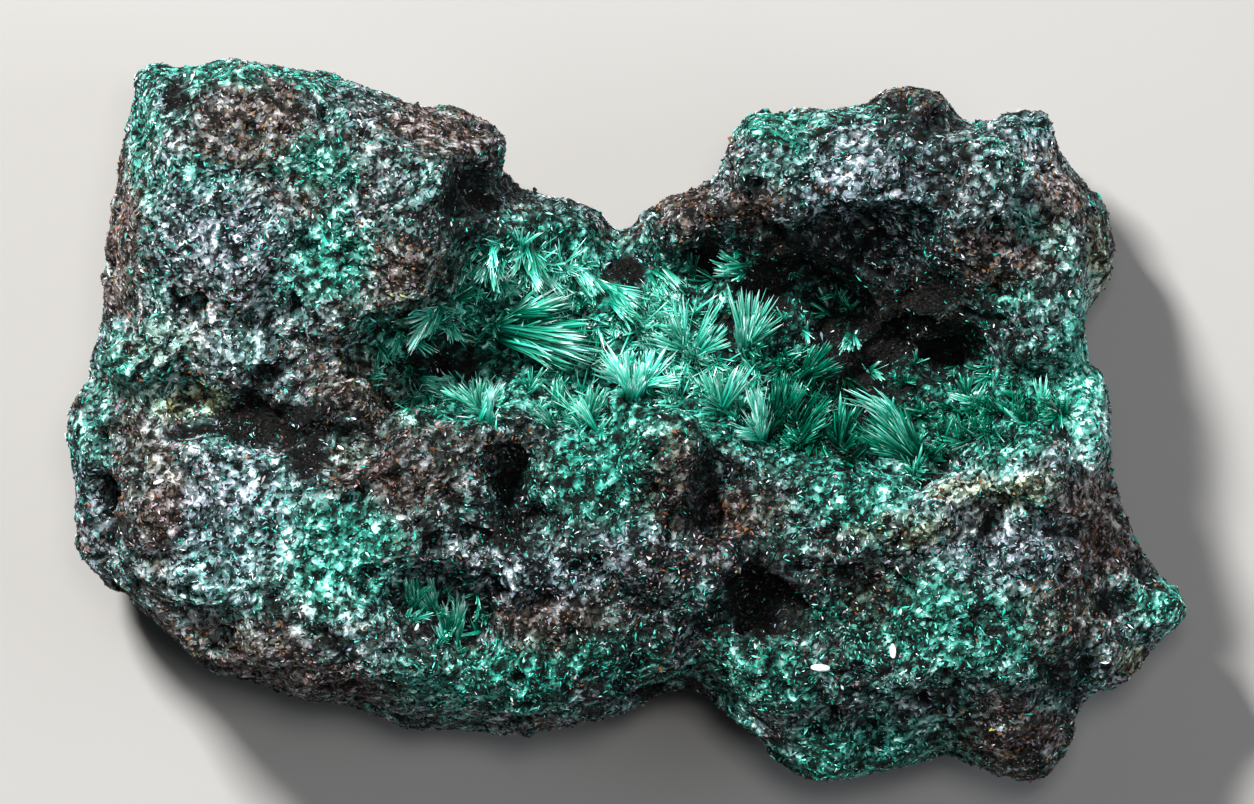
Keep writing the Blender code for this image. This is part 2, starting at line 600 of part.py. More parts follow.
def make_crust(hollow, rock, collection, material):
    """The crystals of one hollow, grown together: a thin lining and the blades that stand on it."""
    rock_tree = tree_of(rock)
    crust = lining(hollow, rock_tree, collection)
    edit(crust, thicken)
    edit(crust, grow_sprays, hollow.sprays, rock_tree, tree_of(crust))
    crust.data.materials.append(material)
    return crust


def main():
    clear_scene()
    noise.seed_set(FRACTURE_SEED)
    specimen = bpy.data.collections.new("brochantite specimen")
    helpers = bpy.data.collections.new("helpers")
    for collection in (specimen, helpers):
        bpy.context.scene.collection.children.link(collection)
    rock_material = mineral("oxidised vein rock", ROCK_COLOUR, ROCK_ROUGHNESS)
    crystal_material = mineral("brochantite", CRYSTAL_COLOUR, CRYSTAL_ROUGHNESS)
    rock = make_matrix(specimen, rock_material)
    for hollow in HOLLOWS:
        make_crust(hollow, rock, specimen, crystal_material)


if __name__ == "__main__":
    main()
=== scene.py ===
"""A brochantite specimen: dark, iron- and manganese-stained vein rock crusted with fine green
crystals, and an open vug filled with radiating sprays of needles.

The specimen lies on its rough back, and the camera looks straight down on its crystal face.
"""

import math
from collections import namedtuple

import bmesh
import bpy
import numpy as np
from bpy.props import FloatProperty, FloatVectorProperty, IntProperty, StringProperty
from mathutils import Matrix, Vector, noise
from mathutils.bvhtree import BVHTree


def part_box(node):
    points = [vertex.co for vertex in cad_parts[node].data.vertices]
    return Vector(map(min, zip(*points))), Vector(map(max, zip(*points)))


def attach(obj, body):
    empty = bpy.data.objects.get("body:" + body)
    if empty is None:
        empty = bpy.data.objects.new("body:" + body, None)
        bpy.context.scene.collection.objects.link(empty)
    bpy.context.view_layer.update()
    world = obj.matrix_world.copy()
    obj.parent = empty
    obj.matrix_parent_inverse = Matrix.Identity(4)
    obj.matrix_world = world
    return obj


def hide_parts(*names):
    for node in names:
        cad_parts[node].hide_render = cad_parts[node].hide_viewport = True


bl_info = {
    "name": "Brochantite specimen",
    "version": (1, 0, 0),
    "blender": (4, 5, 0),
    "location": "3D View > Sidebar > Specimen",
    "description": "Dresses a mineral specimen with grains, needle sprays and a lit stage",
    "category": "Object",
}

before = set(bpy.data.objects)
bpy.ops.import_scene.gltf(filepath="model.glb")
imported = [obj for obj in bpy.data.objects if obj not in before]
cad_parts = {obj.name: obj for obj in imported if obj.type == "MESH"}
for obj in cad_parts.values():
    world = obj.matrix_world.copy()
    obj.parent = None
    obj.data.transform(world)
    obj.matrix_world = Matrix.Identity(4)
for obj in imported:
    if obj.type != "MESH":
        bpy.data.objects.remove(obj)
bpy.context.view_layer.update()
ROOT = "root"
MM = 0.001
UP = Vector((0, 0, 1))
DOWN = Vector((0, 0, -1))
SEED = 29

# The photograph's frame on the specimen's widest section
FRAME_WIDTH = 0.1008
FRAME_CENTRE = (-0.0001, 0.0015)
SECTION_HEIGHT = 0.0140
CAMERA_DISTANCE = 1.1
SENSOR = 36.0

# A patch of the face where one kind of mineral prevails: its middle, its half sizes and how
# strongly it shows. The kinds are those of KINDS. The dark patches are black mineral in part,
# and painted shade in the cracks, slots, overhangs and hollows of the face.
Patch = namedtuple("Patch", "kind x y half_x half_y strength")
KINDS = ("green", "rust", "ash", "dark", "ochre", "vug")
NORTH_WEST_BLOCK = [
    Patch("rust", -0.0296, 0.0238, 0.0042, 0.0036, 1.0),
    Patch("rust", -0.0272, 0.0181, 0.0036, 0.0018, 1.0),
    Patch("dark", -0.0272, 0.0178, 0.0026, 0.0012, 0.8),
    Patch("dark", -0.0355, 0.0254, 0.0009, 0.0014, 1.0),
    Patch("green", -0.0248, 0.0205, 0.0040, 0.0020, 0.8),
    Patch("green", -0.0240, 0.0129, 0.0038, 0.0034, 1.0),
    Patch("green", -0.0386, 0.0218, 0.0012, 0.0064, 0.5),
    Patch("rust", -0.0409, 0.0109, 0.0012, 0.0027, 1.2),
    Patch("rust", -0.0402, 0.0150, 0.0018, 0.0060, 1.0),
    Patch("dark", -0.0127, 0.0168, 0.0028, 0.0044, 0.9),
    Patch("rust", -0.0172, 0.0109, 0.0036, 0.0030, 0.9),
    Patch("ash", -0.0320, 0.0153, 0.0050, 0.0040, 0.8),
    Patch("green", -0.0304, 0.0278, 0.0090, 0.0009, 0.8),
    Patch("rust", -0.0152, 0.0234, 0.0044, 0.0022, 1.0),
    Patch("green", -0.0335, 0.0190, 0.0030, 0.0016, 0.5),
]
SOUTH_WEST_BLOCK = [
    Patch("green", -0.0377, 0.0041, 0.0032, 0.0031, 0.6),
    Patch("ash", -0.0370, 0.0050, 0.0030, 0.0024, 0.7),
    Patch("dark", -0.0272, -0.0002, 0.0082, 0.0014, 1.8),
    Patch("dark", -0.0160, -0.0022, 0.0050, 0.0012, 1.3),
    Patch("dark", -0.0361, 0.0042, 0.0009, 0.0014, 1.6),
    Patch("dark", -0.0309, 0.0008, 0.0028, 0.0011, 2.0),
    Patch("dark", -0.0292, 0.0028, 0.0010, 0.0012, 1.6),
    Patch("dark", -0.0351, -0.0010, 0.0016, 0.0008, 1.8),
    Patch("dark", -0.0250, -0.0029, 0.0016, 0.0014, 1.8),
    Patch("dark", -0.0412, -0.0081, 0.0009, 0.0018, 2.0),
    Patch("dark", -0.0395, -0.0091, 0.0007, 0.0018, 1.8),
    Patch("dark", -0.0420, -0.0055, 0.0009, 0.0008, 1.6),
    Patch("green", -0.0407, 0.0043, 0.0014, 0.0018, 1.2),
    Patch("ochre", -0.0349, 0.0018, 0.0026, 0.0014, 1.6),
    Patch("ochre", -0.0370, 0.0055, 0.0030, 0.0020, 0.7),
    Patch("rust", -0.0368, -0.0065, 0.0016, 0.0055, 1.1),
    Patch("rust", -0.0385, -0.0040, 0.0023, 0.0072, 0.7),
    Patch("rust", -0.0208, 0.0020, 0.0042, 0.0040, 1.1),
    Patch("ash", -0.0312, -0.0088, 0.0050, 0.0048, 1.0),
    Patch("green", -0.0290, -0.0110, 0.0052, 0.0042, 0.5),
    Patch("green", -0.0224, -0.0104, 0.0042, 0.0044, 1.1),
    Patch("rust", -0.0312, -0.0180, 0.0064, 0.0024, 0.9),
    Patch("rust", -0.0184, -0.0040, 0.0050, 0.0030, 1.0),
    Patch("dark", -0.0156, -0.0156, 0.0036, 0.0028, 0.9),
    Patch("green", -0.0119, -0.0209, 0.0074, 0.0022, 1.0),
    Patch("rust", -0.0240, -0.0212, 0.0050, 0.0014, 0.8),
    Patch("green", -0.0430, -0.0012, 0.0014, 0.0042, 0.7),
    Patch("ash", -0.0432, -0.0060, 0.0014, 0.0060, 0.7),
]
MIDDLE = [
    Patch("rust", -0.0140, -0.0018, 0.0050, 0.0012, 1.1),
    Patch("dark", -0.0088, -0.0064, 0.0022, 0.0046, 1.3),
    Patch("green", -0.0024, -0.0044, 0.0050, 0.0030, 1.4),
    Patch("rust", 0.0033, -0.0036, 0.0024, 0.0044, 1.4),
    Patch("ash", 0.0013, -0.0104, 0.0054, 0.0016, 0.8),
    Patch("rust", 0.0030, -0.0110, 0.0040, 0.0014, 0.7),
    Patch("rust", 0.0090, -0.0076, 0.0032, 0.0020, 1.0),
    Patch("dark", 0.0056, -0.0054, 0.0013, 0.0036, 1.2),
    Patch("dark", 0.0106, -0.0138, 0.0032, 0.0040, 1.2),
    Patch("ash", -0.0071, -0.0122, 0.0056, 0.0020, 0.7),
    Patch("rust", -0.0055, -0.0158, 0.0048, 0.0022, 0.8),
    Patch("green", -0.0039, -0.0193, 0.0064, 0.0024, 1.0),
    Patch("dark", 0.0041, -0.0217, 0.0040, 0.0012, 1.3),
    Patch("green", 0.0105, -0.0205, 0.0046, 0.0030, 1.2),
    Patch("green", 0.0175, -0.0060, 0.0042, 0.0022, 1.0),
    Patch("dark", 0.0165, 0.0015, 0.0040, 0.0040, 1.6),
]
SOUTH_EAST_LOBE = [
    Patch("ochre", 0.0215, -0.0088, 0.0038, 0.0012, 0.8),
    Patch("ochre", 0.0292, -0.0055, 0.0048, 0.0011, 0.7),
    Patch("rust", 0.0383, -0.0085, 0.0042, 0.0040, 1.3),
    Patch("rust", 0.0345, -0.0150, 0.0040, 0.0030, 0.8),
    Patch("ash", 0.0307, -0.0112, 0.0050, 0.0028, 0.8),
    Patch("green", 0.0250, -0.0160, 0.0090, 0.0040, 1.0),
    Patch("rust", 0.0194, -0.0140, 0.0030, 0.0022, 0.7),
    Patch("rust", 0.0307, -0.0252, 0.0044, 0.0028, 0.9),
    Patch("green", 0.0194, -0.0270, 0.0080, 0.0024, 1.0),
    Patch("dark", 0.0383, -0.0146, 0.0030, 0.0010, 1.2),
    Patch("ochre", 0.0405, -0.0194, 0.0010, 0.0012, 1.2),
    Patch("green", 0.0430, -0.0146, 0.0020, 0.0024, 1.0),
    Patch("dark", 0.0350, -0.0200, 0.0020, 0.0030, 0.6),
]
NORTH_EAST_LOBE = [
    Patch("green", 0.0122, 0.0238, 0.0036, 0.0012, 1.2),
    Patch("ash", 0.0194, 0.0177, 0.0050, 0.0046, 0.7),
    Patch("rust", 0.0041, 0.0169, 0.0024, 0.0020, 1.2),
    Patch("rust", 0.0102, 0.0169, 0.0021, 0.0018, 1.2),
    Patch("dark", 0.0222, 0.0073, 0.0062, 0.0046, 1.1),
    Patch("dark", 0.0140, 0.0125, 0.0046, 0.0036, 0.9),
    Patch("dark", 0.0230, 0.0240, 0.0030, 0.0030, 0.7),
    Patch("rust", 0.0230, 0.0262, 0.0026, 0.0012, 0.8),
    Patch("ash", 0.0315, 0.0236, 0.0026, 0.0014, 1.2),
    Patch("green", 0.0322, 0.0240, 0.0022, 0.0010, 0.8),
    Patch("ochre", 0.0382, 0.0129, 0.0014, 0.0034, 1.0),
    Patch("rust", 0.0347, 0.0177, 0.0022, 0.0030, 1.0),
    Patch("green", 0.0363, 0.0049, 0.0018, 0.0054, 1.3),
    Patch("rust", 0.0299, 0.0129, 0.0038, 0.0024, 0.8),
    Patch("green", 0.0300, 0.0100, 0.0030, 0.0016, 0.5),
]
VUG = [
    Patch("vug", -0.0150, 0.0050, 0.0060, 0.0045, 2.0),
    Patch("vug", -0.0067, 0.0090, 0.0070, 0.0062, 2.2),
    Patch("vug", 0.0020, 0.0055, 0.0075, 0.0070, 2.2),
    Patch("vug", 0.0110, 0.0050, 0.0072, 0.0065, 2.0),
    Patch("vug", 0.0200, 0.0010, 0.0070, 0.0050, 2.0),
    Patch("vug", 0.0290, 0.0010, 0.0060, 0.0036, 1.6),
]
PATCHES = NORTH_WEST_BLOCK + SOUTH_WEST_BLOCK + MIDDLE + SOUTH_EAST_LOBE + NORTH_EAST_LOBE + VUG
# How far the rock is weathered away where it is darkest
SLOT_DEPTH = 0.0006

# Broad parts of the face that are brighter or darker than the rest: middle, half sizes, lift. These are
# partly the rock's own tone, and partly painted light: painted highlight on the edges that catch the
# light, painted shade on the slopes and hollows turned from it.
Tone = namedtuple("Tone", "x y half_x half_y lift")
LIGHT_AND_TONE_PARTS = [
    Tone(-0.0350, 0.0110, 0.0120, 0.0170, 0.09), Tone(-0.0330, -0.0090, 0.0120, 0.0090, 0.07),
    Tone(-0.0220, 0.0200, 0.0090, 0.0070, 0.07), Tone(-0.0200, -0.0110, 0.0080, 0.0060, 0.04),
    Tone(0.0320, -0.0060, 0.0130, 0.0050, 0.17), Tone(0.0370, 0.0060, 0.0030, 0.0080, 0.24),
    Tone(0.0330, 0.0190, 0.0060, 0.0060, 0.14), Tone(0.0180, 0.0090, 0.0120, 0.0070, -0.20),
    Tone(0.0060, 0.0150, 0.0050, 0.0040, -0.08), Tone(0.0060, -0.0120, 0.0110, 0.0080, -0.10),
    Tone(-0.0080, -0.0060, 0.0070, 0.0060, -0.04), Tone(0.0140, 0.0215, 0.0070, 0.0040, 0.06),
    Tone(-0.0290, 0.0087, 0.0080, 0.0040, 0.10), Tone(-0.0300, -0.0165, 0.0090, 0.0055, 0.10),
    Tone(-0.0030, -0.0200, 0.0050, 0.0040, -0.16), Tone(0.0177, -0.0150, 0.0045, 0.0060, -0.15),
    Tone(0.0180, 0.0010, 0.0050, 0.0045, -0.25), Tone(0.0280, 0.0010, 0.0070, 0.0040, -0.10),
    Tone(0.0400, -0.0160, 0.0040, 0.0060, 0.08),
    Tone(0.0240, -0.0130, 0.0100, 0.0040, -0.03), Tone(-0.0390, 0.0040, 0.0060, 0.0060, 0.08),
]

# A spray of needles: its root in plan, the bearing of its axis and its climb in degrees, the
# reach of its longest needles, the half angle that it fills, how many needles it has and how
# pale they are. Paleness below zero is painted shade, and a high paleness is in part painted
# highlight.
Spray = namedtuple("Spray", "x y bearing climb reach spread count pale")
VUG_SPRAYS = [
    Spray(-0.0101, 0.0072, -14, 22, 0.0095, 26, 170, 0.15),
    Spray(-0.0105, 0.0078, 12, 24, 0.0084, 24, 150, 0.15),
    Spray(0.0003, 0.0023, 118, 46, 0.0054, 44, 150, 1.10),
    Spray(0.0009, 0.0026, 55, 46, 0.0050, 44, 130, 1.00),
    Spray(-0.0029, -0.0005, 100, 40, 0.0045, 44, 110, 0.30),
    Spray(-0.0116, 0.0006, 118, 38, 0.0042, 36, 90, 0.35),
    Spray(-0.0115, 0.0007, 62, 38, 0.0047, 24, 80, 0.80),
    Spray(-0.0150, 0.0084, -155, 28, 0.0047, 44, 110, 0.50),
    Spray(-0.0166, 0.0026, -45, 30, 0.0032, 44, 70, 0.25),
    Spray(-0.0110, 0.0133, -98, 34, 0.0040, 40, 90, 0.55),
    Spray(-0.0079, 0.0133, -90, 34, 0.0047, 40, 100, 0.50),
    Spray(-0.0045, 0.0123, -80, 34, 0.0042, 40, 90, 0.45),
    Spray(-0.0018, 0.0111, -40, 30, 0.0056, 30, 100, 0.35),
    Spray(0.0048, 0.0055, 140, 42, 0.0056, 46, 90, 0.55),
    Spray(0.0053, 0.0057, 50, 42, 0.0050, 46, 90, 0.50),
    Spray(0.0024, 0.0118, -52, 30, 0.0037, 18, 50, 0.45),
    Spray(0.0075, 0.0008, 108, 42, 0.0061, 36, 120, 0.30),
    Spray(0.0109, -0.0014, 97, 38, 0.0060, 18, 70, 0.90),
    Spray(0.0107, -0.0012, 128, 40, 0.0063, 32, 110, 0.60),
    Spray(0.0091, 0.0118, 160, 34, 0.0037, 40, 70, 0.35),
    Spray(0.0096, 0.0057, 68, 34, 0.0058, 32, 110, 0.35),
    Spray(0.0103, 0.0060, 96, 40, 0.0027, 24, 60, 1.00),
    # These sprays are darkened, as painted shade for the dark east end of the vug
    Spray(0.0138, 0.0034, 52, 34, 0.0053, 28, 90, -0.55),
    Spray(0.0119, -0.0014, 66, 32, 0.0074, 26, 140, -0.55),
    Spray(0.0127, -0.0018, 38, 30, 0.0074, 26, 130, -0.60),
    Spray(0.0167, -0.0022, 84, 36, 0.0051, 36, 100, -0.50),
    Spray(0.0236, -0.0030, 128, 30, 0.0079, 15, 130, -0.25),
    Spray(0.0233, -0.0032, 146, 28, 0.0068, 13, 110, -0.25),
    Spray(0.0220, 0.0000, 152, 30, 0.0068, 9, 40, 0.70),
    Spray(0.0279, 0.0012, 90, 40, 0.0036, 80, 80, 0.45),
    Spray(0.0329, 0.0010, 90, 40, 0.0034, 80, 80, 0.45),
    Spray(0.0180, 0.0068, -112, 40, 0.0035, 48, 60, 0.60),
    Spray(-0.0055, 0.0003, 112, 40, 0.0039, 38, 90, 0.30),
]
POCKET_SPRAYS = [
    Spray(-0.0146, -0.0172, 104, 42, 0.0039, 40, 90, 0.25),
    Spray(-0.0136, -0.0167, 92, 34, 0.0055, 16, 60, 0.35),
    Spray(-0.0172, -0.0150, 74, 36, 0.0037, 38, 80, 0.15),
    Spray(-0.0155, -0.0150, 120, 36, 0.0035, 38, 80, 0.15),
]

# The voids between the crystals of the vug, where nothing grows and the rock is painted black as painted
# shade: middle and half sizes
SHADED_VOIDS = [
    (-0.0146, 0.0052, 0.0034, 0.0024), (-0.0004, 0.0119, 0.0022, 0.0017),
    (0.0076, 0.0070, 0.0024, 0.0026), (0.0060, 0.0130, 0.0013, 0.0026),
    (0.0112, 0.0106, 0.0020, 0.0040), (0.0183, 0.0060, 0.0050, 0.0024),
    (0.0237, 0.0062, 0.0040, 0.0022), (0.0188, 0.0018, 0.0022, 0.0028),
]

# Where small tufts are dense: middle, half sizes, how dense and how pale; paleness below zero is painted
# shade for the dark east end of the vug
Field = namedtuple("Field", "x y half_x half_y density pale")
FIELDS = [
    Field(-0.0086, 0.0130, 0.0052, 0.0028, 4.0, 0.62), Field(0.0028, 0.0066, 0.0042, 0.0032, 5.0, 0.72),
    Field(0.0066, 0.0030, 0.0040, 0.0030, 3.5, 0.50), Field(-0.0136, 0.0008, 0.0048, 0.0020, 3.0, 0.45),
    Field(-0.0172, 0.0078, 0.0034, 0.0028, 2.5, 0.40), Field(-0.0030, 0.0000, 0.0052, 0.0022, 3.0, 0.50),
    Field(-0.0040, 0.0072, 0.0050, 0.0036, 2.5, 0.30), Field(0.0118, 0.0020, 0.0050, 0.0044, 2.5, -0.15),
    Field(0.0290, -0.0008, 0.0070, 0.0028, 2.5, -0.45), Field(0.0215, -0.0058, 0.0034, 0.0022, 3.0, 0.35),
    Field(0.0172, 0.0005, 0.0040, 0.0040, 2.6, -0.65),
    Field(0.0222, -0.0030, 0.0040, 0.0030, 2.0, -0.40),
]
FIELD_ELSEWHERE = Field(0.0, 0.0, 1.0, 1.0, 0.5, 0.15)
# In the densest fields some tufts are a few long strands that cross the others, painted near white as
# painted highlight
DENSE = 3.0
STRAND_SHARE = 0.25
STRAND_REACH = 0.0048

# Single white crystals that lie on the face: place in plan, bearing in degrees and length
WhiteGrain = namedtuple("WhiteGrain", "x y bearing length")
WHITE_GRAINS = [
    WhiteGrain(-0.0372, -0.0049, 20, 0.0009), WhiteGrain(-0.0169, -0.0165, 70, 0.0008),
    WhiteGrain(0.0152, -0.0196, -4, 0.0016), WhiteGrain(0.0211, -0.0185, 94, 0.0014),
    WhiteGrain(-0.0229, -0.0022, -30, 0.0006), WhiteGrain(0.0064, 0.0156, 10, 0.0005),
]
WHITE_GRAIN_FLATNESS = 0.38


def linear(text):
    """A colour of the form #rrggbb as linear red, green, blue and alpha."""
    parts = [int(text[place:place + 2], 16) / 255 for place in (1, 3, 5)]
    made = [part / 12.92 if part <= 0.04045 else ((part + 0.055) / 1.055) ** 2.4 for part in parts]
    return (*made, 1.0)


def add_node(tree, kind, settings=None, inputs=None, links=None):
    """Adds a node with its settings, its constant inputs and its links."""
    node = tree.nodes.new(kind)
    for name, value in (settings or {}).items():
        setattr(node, name, value)
    for name, value in (inputs or {}).items():
        node.inputs[name].default_value = value
    for name, source in (links or {}).items():
        tree.links.new(source, node.inputs[name])
    return node


def ramp_stops(node, stops, interpolation="LINEAR"):
    """Sets a Color Ramp's stops from (place, colour) pairs."""
    ramp = node.color_ramp
    ramp.interpolation = interpolation
    while len(ramp.elements) > 1:
        ramp.elements.remove(ramp.elements[-1])
    ramp.elements[0].position, ramp.elements[0].color = stops[0][0], linear(stops[0][1])
    for place, colour in stops[1:]:
        ramp.elements.new(place).color = linear(colour)


def new_material(name):
    material = bpy.data.materials.new(name)
    material.use_nodes = True
    tree = material.node_tree
    tree.nodes.clear()
    shader = add_node(tree, "ShaderNodeBsdfPrincipled")
    output = add_node(tree, "ShaderNodeOutputMaterial")
    tree.links.new(shader.outputs["BSDF"], output.inputs["Surface"])
    return material, tree, shader


# The speckle of the rock, for each kind of ground, from its darkest grain to its brightest, kept dark in
# its middle colours as painted shade between the crystal grains that lie on it
GREEN_GRAINS = [
    (0.00, "#010504"), (0.28, "#042019"), (0.50, "#095244"), (0.70, "#188c78"),
    (0.86, "#4bbfaa"), (1.00, "#a8e6d8"),
]
RUST_GRAINS = [
    (0.00, "#020101"), (0.30, "#17100c"), (0.52, "#402b20"), (0.72, "#68514a"),
    (0.88, "#7d6c70"), (1.00, "#a3938c"),
]
ASH_GRAINS = [
    (0.00, "#020303"), (0.28, "#12171a"), (0.50, "#3a4a4e"), (0.70, "#71808a"),
    (0.86, "#a0a4b4"), (1.00, "#d8dde2"),
]
OCHRE_GRAINS = [
    (0.00, "#070402"), (0.34, "#211808"), (0.60, "#54502c"), (0.84, "#8f9468"),
    (1.00, "#cfd3b4"),
]


def rock_material():
    """Vein rock soaked with copper, iron and manganese minerals: broken, grainy and matt, with
    a few bright crystal faces, so it is a speckle of grains in four families of colour. It goes
    near black in its dark zone: black mineral, with painted shade in cracks, pits and voids."""
    material, tree, shader = new_material("oxidised vein rock, broken")
    place = add_node(tree, "ShaderNodeTexCoord").outputs["Object"]
    # The grains are 0.3 mm across, which is about as fine as the render can show
    grain = add_node(tree, "ShaderNodeTexVoronoi", inputs={"Scale": 1 / (0.34 * MM)},
                     links={"Vector": place})
    # The tone attribute brightens and darkens broad parts of the face, partly as painted highlight and
    # painted shade
    tone = add_node(tree, "ShaderNodeAttribute", {"attribute_name": "tone"})
    value = add_node(tree, "ShaderNodeSeparateColor", links={"Color": grain.outputs["Color"]})
    mixed = add_node(tree, "ShaderNodeMath", {"operation": "MULTIPLY_ADD"}, {1: 0.70},
                     {0: value.outputs["Red"], 2: tone.outputs["Fac"]})
    level = add_node(tree, "ShaderNodeMath", {"operation": "ADD", "use_clamp": True},
                     {1: 0.14}, {0: mixed.outputs[0]})
    zone = add_node(tree, "ShaderNodeAttribute", {"attribute_name": "zone"})
    shares = add_node(tree, "ShaderNodeSeparateColor", links={"Color": zone.outputs["Color"]})
    colour = None
    for stops, share in (
        (ASH_GRAINS, None), (GREEN_GRAINS, shares.outputs["Red"]),
        (RUST_GRAINS, shares.outputs["Green"]), (OCHRE_GRAINS, shares.outputs["Blue"]),
    ):
        ramp = add_node(tree, "ShaderNodeValToRGB", links={"Fac": level.outputs[0]})
        ramp_stops(ramp, stops)
        if share is None:
            colour = ramp.outputs["Color"]
            continue
        mix = add_node(tree, "ShaderNodeMix", {"data_type": "RGBA"},
                       links={"Factor": share, "A": colour, "B": ramp.outputs["Color"]})
        mix.inputs["A"].default_value = (0, 0, 0, 1)
        tree.links.new(colour, mix.inputs[6])
        tree.links.new(ramp.outputs["Color"], mix.inputs[7])
        colour = mix.outputs[2]
    # Near black in the dark zone: black manganese mineral, and painted shade in the cracks, slots, pits
    # and voids of the vug
    black_and_shade = add_node(tree, "ShaderNodeMix", {"data_type": "RGBA"})
    tree.links.new(zone.outputs["Alpha"], black_and_shade.inputs[0])
    tree.links.new(colour, black_and_shade.inputs[6])
    black_and_shade.inputs[7].default_value = linear("#050504")
    tree.links.new(black_and_shade.outputs[2], shader.inputs["Base Color"])
    gloss = add_node(tree, "ShaderNodeMapRange", inputs={"To Min": 0.95, "To Max": 0.35},
                     links={"Value": value.outputs["Green"]})
    tree.links.new(gloss.outputs["Result"], shader.inputs["Roughness"])
    relief = add_node(tree, "ShaderNodeTexNoise",
                      inputs={"Scale": 1 / (0.45 * MM), "Detail": 5.0, "Roughness": 0.7},
                      links={"Vector": place})
    lumps = add_node(tree, "ShaderNodeBump", inputs={"Strength": 0.9, "Distance": 0.35 * MM},
                     links={"Height": relief.outputs["Fac"]})
    shader.inputs["IOR"].default_value = 1.22
    edges = add_node(tree, "ShaderNodeBump", inputs={"Strength": 0.8, "Distance": 0.18 * MM},
                     links={"Height": grain.outputs["Distance"], "Normal": lumps.outputs["Normal"]})
    tree.links.new(edges.outputs["Normal"], shader.inputs["Normal"])
    return material


# What single grains are made of. A grain's own attribute picks its place in this list.
GRAIN_COLOURS = (
    "#060505", "#2e1c12", "#6b4426", "#70606a", "#8f8c52", "#033f36", "#057866", "#1ca592",
    "#5ed0be", "#a9e8dc", "#5a7480", "#9599ab", "#eaf2f2", "#9a8a8e",
)
GRAIN_STEP = 1 / len(GRAIN_COLOURS)
(BLACK, BROWN, RUST, PURPLE, OCHRE, DEEP, EMERALD, TEAL, MINT, PALE, SLATE, LILAC, WHITE,
 MAUVE) = range(len(GRAIN_COLOURS))
BRIGHTNESS = (0.0, 0.1, 0.3, 0.4, 0.6, 0.15, 0.35, 0.55, 0.8, 0.95, 0.45, 0.7, 1.0, 0.6)
MIDDLE_BRIGHTNESS = 0.38
CLUSTERING = 5.5
# How often each kind of ground has each kind of grain
GROUND = {
    "green": {BLACK: 6, DEEP: 12, EMERALD: 20, TEAL: 28, MINT: 15, PALE: 7, LILAC: 3, WHITE: 3},
    "rust": {BLACK: 24, BROWN: 20, RUST: 20, PURPLE: 22, OCHRE: 1, DEEP: 2, SLATE: 3, LILAC: 2,
             WHITE: 1, TEAL: 1, MAUVE: 14},
    "ash": {BLACK: 14, PURPLE: 9, DEEP: 4, EMERALD: 5, TEAL: 9, MINT: 10, SLATE: 16,
            LILAC: 22, WHITE: 6, PALE: 5, MAUVE: 7},
    # Dark ground stands for black mineral and for painted shade in cracks, pits and voids, so its grains
    # are mostly black
    "dark": {BLACK: 70, BROWN: 8, DEEP: 6, EMERALD: 4, SLATE: 4, LILAC: 3, WHITE: 2, MINT: 2},
    "ochre": {OCHRE: 12, BROWN: 10, RUST: 14, PALE: 10, MINT: 12, DEEP: 8, EMERALD: 8,
              BLACK: 14, WHITE: 1, MAUVE: 8},
    "vug": {BLACK: 16, DEEP: 34, EMERALD: 34, TEAL: 18, MINT: 5, PALE: 2},
}


def grain_material():
    """Tiny prisms of brochantite and its neighbours: glassy faces that flash or stay dark."""
    material, tree, shader = new_material("brochantite druse, fine grained")
    kind = add_node(tree, "ShaderNodeAttribute", {"attribute_name": "kind"})
    ramp = add_node(tree, "ShaderNodeValToRGB", links={"Fac": kind.outputs["Fac"]})
    stops = [(number * GRAIN_STEP, colour) for number, colour in enumerate(GRAIN_COLOURS)]
    ramp_stops(ramp, stops, "CONSTANT")
    place = add_node(tree, "ShaderNodeTexCoord").outputs["Object"]
    cloud = add_node(tree, "ShaderNodeTexNoise", inputs={"Scale": 1 / (0.5 * MM)},
                     links={"Vector": place})
    shade = add_node(tree, "ShaderNodeMapRange", inputs={"To Min": 0.55, "To Max": 1.45},
                     links={"Value": cloud.outputs["Fac"]})
    tint = add_node(tree, "ShaderNodeVectorMath", {"operation": "SCALE"})
    tree.links.new(ramp.outputs["Color"], tint.inputs[0])
    tree.links.new(shade.outputs["Result"], tint.inputs["Scale"])
    tree.links.new(tint.outputs[0], shader.inputs["Base Color"])
    rough = add_node(tree, "ShaderNodeMapRange",
                     inputs={"From Min": 0.0, "From Max": 0.4, "To Min": 0.80, "To Max": 0.30},
                     links={"Value": kind.outputs["Fac"]})
    tree.links.new(rough.outputs["Result"], shader.inputs["Roughness"])
    shader.inputs["IOR"].default_value = 1.38
    return material


